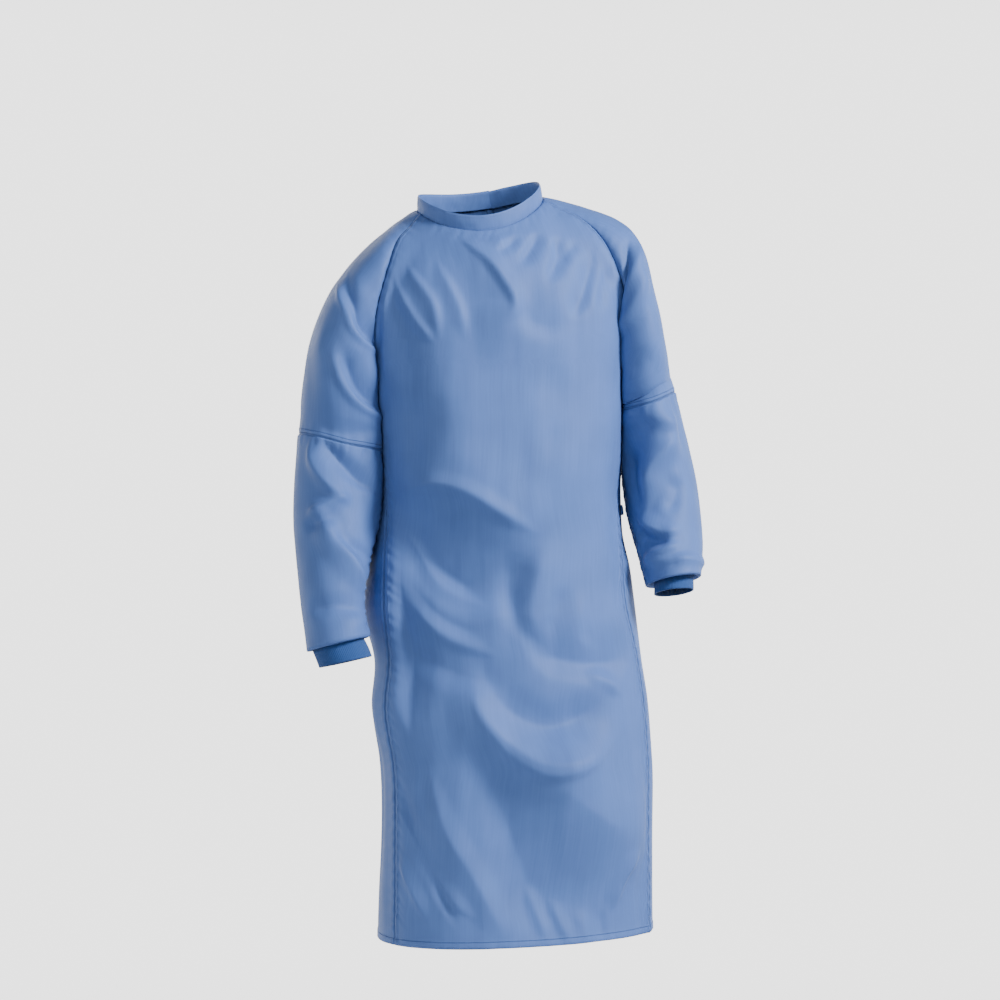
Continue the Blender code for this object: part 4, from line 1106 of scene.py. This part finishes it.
# The neck band is a doubled strip of the same cloth, stitched close to its seam and
# to its upper edge. Its ends lap at the back like the panels under them.
BAND_HEIGHT = 0.022
BAND_LEAN = 0.10
BAND_THICK = 0.0018
BAND_COLUMNS = 260
BAND_ROWS = 12
BAND_TUCK = 0.30
BAND_CREASE, BAND_CREST = 0.28, 0.02
BAND_CUT = (0.66, 0.046)
BULGE = 0.0006
WAVES = 55, 1.2, 3, 0.0007
RIPPLES = 130, 2.0, 8, 0.0004


def wavy(kind, height):
    """Unevenness along the band at a height: (pace along, pace up, seed, size)."""
    along, up, seed, size = kind
    return size * drifting(run * along, height * up, seed)


band_turn = CORNERS[2] + (CORNERS[3] - CORNERS[2]) * WRAP_END
angles = np.linspace(-band_turn, band_turn, BAND_COLUMNS + 1)
seam = neck_ring(angles, lapped((angles - CORNERS[2]) / (CORNERS[3] - CORNERS[2])))
upward = unit(np.array([-NECK_RISE_LEFT, -NECK_RISE_BACK, 1.0]))
from_neck = unit(seam * (1, 1, 0))
lean = upward * BAND_HEIGHT - BAND_LEAN * BAND_HEIGHT * from_neck
band_out = unit(np.cross(np.gradient(seam, axis=0), lean))
band_out *= np.sign(np.sum(band_out * from_neck, axis=1))[:, None]
heights = np.concatenate([np.linspace(1, 0, BAND_ROWS), np.linspace(-BAND_TUCK, 1, BAND_ROWS)])
depths = np.repeat([0, BAND_THICK], BAND_ROWS)
depths[[0, -1]] = BAND_THICK * BAND_CREASE
heights[[0, -1]] = 1 + BAND_CREST
run = lengths(seam)
band = []
for height, depth in zip(heights, depths):
    bulge = BULGE * math.sin(math.pi * min(1, height)) * (1 if depth < BAND_THICK / 2 else -1)
    stand = bulge - depth + wavy(WAVES, height) + wavy(RIPPLES, height) * (1 - height)
    band.append(seam + lean * height + band_out * stand[:, None])
band = np.array(band + band[:1])
outer_band = band[:BAND_ROWS]
band_piece = cloth_piece("neck_band_cloth", band, cloth, thick=0)
cut_from(band_piece, "neck_band", "cloth", BAND_CUT)

# Two flat tapes of the folded cloth are sewn into the side seams, brought round the
# back, crossed, tied and left hanging.
TAPE_WIDTH = 0.014
TAPE_PINCH = 0.006
TAPE_THICK = 0.0011
TAPE_STEPS = 220
TAPE_COLUMNS = 8
TAPE_CLEAR = 0.0008
TAPE_CROWN, TAPE_CREASE = 0.0005, 0.0003
TAPE_CURL, TAPE_CURL_PACE = 0.0005, 0.05
SKIN_STEPS = 4
SKIN_SMOOTH = 13
CROSSING = (0.50, 0.505)
KNOT_CLEAR = 0.0034
KNOT_REACH, KNOT_EDGE, CROSSING_EDGE = 0.030, 1.3, 1.8
TIES = {
    "right": ((0.962, 0.464), (0.80, 0.474), (0.60, 0.487), CROSSING, (0.465, 0.57), (0.46, 0.74)),
    "left": ((0.038, 0.467), (0.20, 0.476), (0.40, 0.487), CROSSING, (0.535, 0.57), (0.545, 0.70)),
}
TIE_CUT = {"right": (0.015, 0.50), "left": (0.015, 0.46)}


def drop_on(faces, point, outward, reach=0.05):
    """Height of the outermost face over a point, along a direction."""
    start = Vector(point + reach * outward)
    hit = faces.ray_cast(start, Vector(-outward))[0]
    return 0.0 if hit is None else reach - (hit - start).length


def on_back(grid, line):
    """Points or directions of the finished back at places on it."""
    return on_grid(grid, back_levels, line[:, 0], line[:, 1], back_shares)


tape_cloth = woven("tape_cloth", CLOTH_COLOR, streak=0.04, grain=0.16)
back_skin = outer_faces(over_face, under_face)
folded_back = over + over_out * back_push[..., None]
crossing = on_back(folded_back, np.array([CROSSING]))[0]
strands = np.linspace(-1, 1, TAPE_COLUMNS + 1)
for side, path in TIES.items():
    line = through(path, TAPE_STEPS)
    base = on_back(folded_back, line)
    away = unit(on_back(over_out, line))
    beside = unit(np.cross(unit(np.gradient(base, axis=0)), away))
    near = np.linalg.norm(base - crossing, axis=1) / KNOT_REACH
    pinch = smooth(KNOT_EDGE - near)
    half = (TAPE_WIDTH + (TAPE_PINCH - TAPE_WIDTH) * pinch) / 2
    clear = TAPE_CLEAR + TAPE_THICK + KNOT_CLEAR * pinch
    if side == "left":
        clear = clear + (TAPE_THICK + TAPE_CLEAR) * smooth(CROSSING_EDGE - near)
    places = [base + beside * (half * k)[:, None] for k in strands]
    skin = [[drop_on(back_skin, p, n) for p, n in zip(place, away)] for place in places]
    skin = np.max(skin, axis=0)
    for _ in range(SKIN_STEPS):
        skin = np.maximum(skin, np.maximum(np.roll(skin, 1), np.roll(skin, -1)))
    skin = np.pad(skin, SKIN_SMOOTH // 2, mode="edge")
    skin = np.convolve(skin, np.full(SKIN_SMOOTH, 1 / SKIN_SMOOTH), mode="valid")
    curl = drifting(np.arange(TAPE_STEPS) * TAPE_CURL_PACE, 2.0 * len(side), 0)
    tape = []
    for k, place in zip(strands, places):
        crown = TAPE_CROWN * (1 - k * k) - TAPE_CREASE * pinch * math.cos(3 * math.pi * k)
        turned = TAPE_CURL * (1 + curl) * (1 - pinch) * (1 + k * curl)
        tape.append(place + away * (skin + clear + crown + turned)[:, None])
    tie = "waist_tie_" + side
    tape_piece = cloth_piece(tie + "_cloth", np.array(tape), tape_cloth, thick=TAPE_THICK)
    cut_from(tape_piece, tie, "tape", TIE_CUT[side])

# The knot is one turn of the left tape round both, drawn tight, so it is creased.
KNOT_HALF = 0.0125
KNOT_DEEP = 0.0027
KNOT_TALL = 0.010
KNOT_WALL = 0.0024
KNOT_CREASE = 0.0005
KNOT_COLUMNS, KNOT_ROWS = 96, 24
KNOT_CUT = (0.018, 0.07)
knot_out = unit(on_back(over_out, np.array([CROSSING])))[0]
knot_across = unit(np.cross(knot_out, [0.0, 0.0, 1.0]))
knot_up = np.cross(knot_across, knot_out)
centre = crossing + knot_out * (TAPE_CLEAR + KNOT_CLEAR + TAPE_THICK + TAPE_CLEAR / 2)
knot = []
for a in np.linspace(0, 2 * math.pi, KNOT_COLUMNS + 1):
    beside, ahead = KNOT_HALF * squircle(math.cos(a)), KNOT_DEEP * squircle(math.sin(a))
    facing = unit(knot_across * math.cos(a) / KNOT_HALF + knot_out * math.sin(a) / KNOT_DEEP)
    inner = centre + knot_across * beside + knot_out * ahead
    turn = []
    for b in np.linspace(0, 2 * math.pi, KNOT_ROWS + 1):
        swell = (1 - math.cos(b)) / 2
        crease = KNOT_CREASE * math.cos(3 * b + 2 * math.sin(a))
        rise = knot_up * (KNOT_TALL / 2 * math.sin(b))
        turn.append(inner + facing * (KNOT_WALL + crease) * swell + rise)
    knot.append(turn)
knot_piece = cloth_piece("waist_knot_cloth", np.array(knot), tape_cloth, thick=0)
cut_from(knot_piece, "waist_knot", "tape", KNOT_CUT)

# Two pale snap caps of moulded plastic close the band, each with a rolled rim and a
# small dimple where the post is riveted through.
SNAP_RADIUS = 0.005
SNAP_TALL = 0.0018
SNAP_LIFT = 0.0005
SNAP_RIM = 0.00035
SNAP_STEPS = ((0.45, -0.0004), (0.2, 0.0003))
SNAP_ANGLES = {"right": math.radians(172), "left": math.radians(188)}
SNAP_COLOR = (0.62, 0.66, 0.72)
SNAP_TONES = 0.92, 1.06
SNAP_GRAIN = 900
plastic, shader = new_material("snap_plastic", 0.35)
shader.inputs["Coat Weight"].default_value = 0.15
nodes = plastic.node_tree
spot = node(nodes, "ShaderNodeTexCoord", {}).outputs["Object"]
mottle = node(nodes, "ShaderNodeTexNoise", {"Vector": spot, "Scale": SNAP_GRAIN}).outputs["Fac"]
tones = [(*(c * tone for c in SNAP_COLOR), 1) for tone in SNAP_TONES]
nodes.links.new(mixed(nodes, "MIX", mottle, *tones), shader.inputs["Base Color"])

band_skin = outer_faces(outer_band)
middle_row = band[BAND_ROWS // 2 - 1:BAND_ROWS // 2 + 1].mean(axis=0)
for side, angle in SNAP_ANGLES.items():
    point = read_at(angle, angles, middle_row)
    facing = unit(read_at(angle, angles, band_out))
    bpy.ops.object.select_all(action="DESELECT")
    bpy.ops.mesh.primitive_cylinder_add(vertices=40, radius=SNAP_RADIUS, depth=SNAP_TALL)
    cap = bpy.context.object
    cap.name = "neck_snap_" + side + "_cap"
    bpy.ops.object.mode_set(mode="EDIT")
    bpy.ops.mesh.select_all(action="DESELECT")
    mesh = bmesh.from_edit_mesh(cap.data)
    for face in mesh.faces:
        face.select = face.normal.z > 0.9
    bmesh.update_edit_mesh(cap.data)
    for inset, step in SNAP_STEPS:
        bpy.ops.mesh.inset(thickness=SNAP_RADIUS * inset)
        bpy.ops.transform.translate(value=(0, 0, step))
    bpy.ops.object.mode_set(mode="OBJECT")
    rim = cap.modifiers.new("rim", "BEVEL")
    rim.width = SNAP_RIM
    rim.segments = 3
    rim.limit_method = "ANGLE"
    bpy.ops.object.modifier_apply(modifier="rim")
    height = drop_on(band_skin, point, facing) + SNAP_LIFT + SNAP_TALL / 2
    turned = Vector(facing).to_track_quat("Z", "Y").to_matrix().to_4x4()
    turned.translation = Vector(point + facing * height)
    cap.data.transform(turned)
    bpy.ops.object.shade_smooth_by_angle()
    cap.data.materials.clear()
    cap.data.materials.append(plastic)
    dresses(cap, "neck_snap_" + side)
bpy.ops.object.select_all(action="DESELECT")

# Lockstitch in thread of the same blue: two rows beside each felled seam and the
# elbow seam, one along the hem, the facings and the band.
STITCH = 0.0031
STITCH_STEP = 0.0036
THREAD = 0.00026
THREAD_SIDES = 6
THREAD_COLOR = (0.044, 0.092, 0.275)
STITCH_SINK = 0.00005
FACING_ROW = 0.010
BAND_LOW_ROW, BAND_TOP_ROW = 0.0018, 0.0035
thread = woven("sewing_thread", THREAD_COLOR, streak=0.02, grain=0.3, sheen=0.1)
stitch_points, stitch_faces = [], []


def stitch_row(line, facing):
    """Short lengths of thread laid end to end along a line on the cloth."""
    along = lengths(line)
    rises, sizes = (-THREAD, THREAD - STITCH_SINK, -THREAD), (0.5, 1.0, 0.5)
    for start in np.arange(STITCH_STEP, along[-1] - STITCH_STEP, STITCH_STEP):
        places = read_at(start + STITCH * np.array([0, 0.5, 1]), along, line)
        up = unit(read_at(start, along, facing))
        across = unit(np.cross(unit(places[2] - places[0]), up))
        first = len(stitch_points)
        for place, rise, size in zip(places, rises, sizes):
            for a in np.arange(THREAD_SIDES) * 2 * math.pi / THREAD_SIDES:
                spread = (across * math.cos(a) + up * math.sin(a)) * THREAD * size
                stitch_points.append(place + up * rise + spread)
        for ring in (first, first + THREAD_SIDES):
            for k in range(THREAD_SIDES):
                a, b = ring + k, ring + (k + 1) % THREAD_SIDES
                stitch_faces.append((a, b, b + THREAD_SIDES, a + THREAD_SIDES))


def beside_border(grid, distance, last=False):
    """The line on a grid at a distance from its first or last border."""
    if last:
        grid = grid[:, ::-1]
    return np.array([read_at(distance, marks, row) for marks, row in zip(along_rows(grid), grid)])


def beside_edge(grid, distance, last=False):
    """The line on a grid at a distance from its first or last row."""
    return beside_border(np.swapaxes(grid, 0, 1), distance, last)


for distance in (ROW_ONE, ROW_TWO):
    stitch_row(beside_border(front_face, distance), front_out[:, 0])
    stitch_row(beside_border(front_face, distance, True), front_out[:, -1])
    stitch_row(beside_border(over_face[:YOKE_ROWS], distance), over_out[:YOKE_ROWS, 0])
    stitch_row(beside_border(under_face[:YOKE_ROWS], distance, True), under_out[:YOKE_ROWS, -1])
for face in (front_face, over_face, under_face):
    stitch_row(beside_edge(face, HEM_ROW, True), normals(face)[-3])
stitch_row(beside_border(over_face, FACING_ROW, True), normals(over_face)[:, -3])
for face in sleeve_faces.values():
    facing = tube_normals(face, YOKE_ROWS + 1)
    for distance in (ROW_ONE, ROW_TWO):
        stitch_row(beside_edge(face[:ELBOW + 1], distance, True), facing[ELBOW - 1])
        stitch_row(beside_border(face[YOKE_ROWS + 2:], distance), facing[YOKE_ROWS + 2:, 1])
stitch_row(beside_edge(outer_band, BAND_LOW_ROW, True), band_out)
stitch_row(beside_edge(outer_band, BAND_TOP_ROW), band_out)
points, faces = np.array(stitch_points), np.array(stitch_faces)
stitching = mesh_piece("stitching", points, faces, thread, UVMap=points[:, (0, 2)])
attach(stitching, "root")
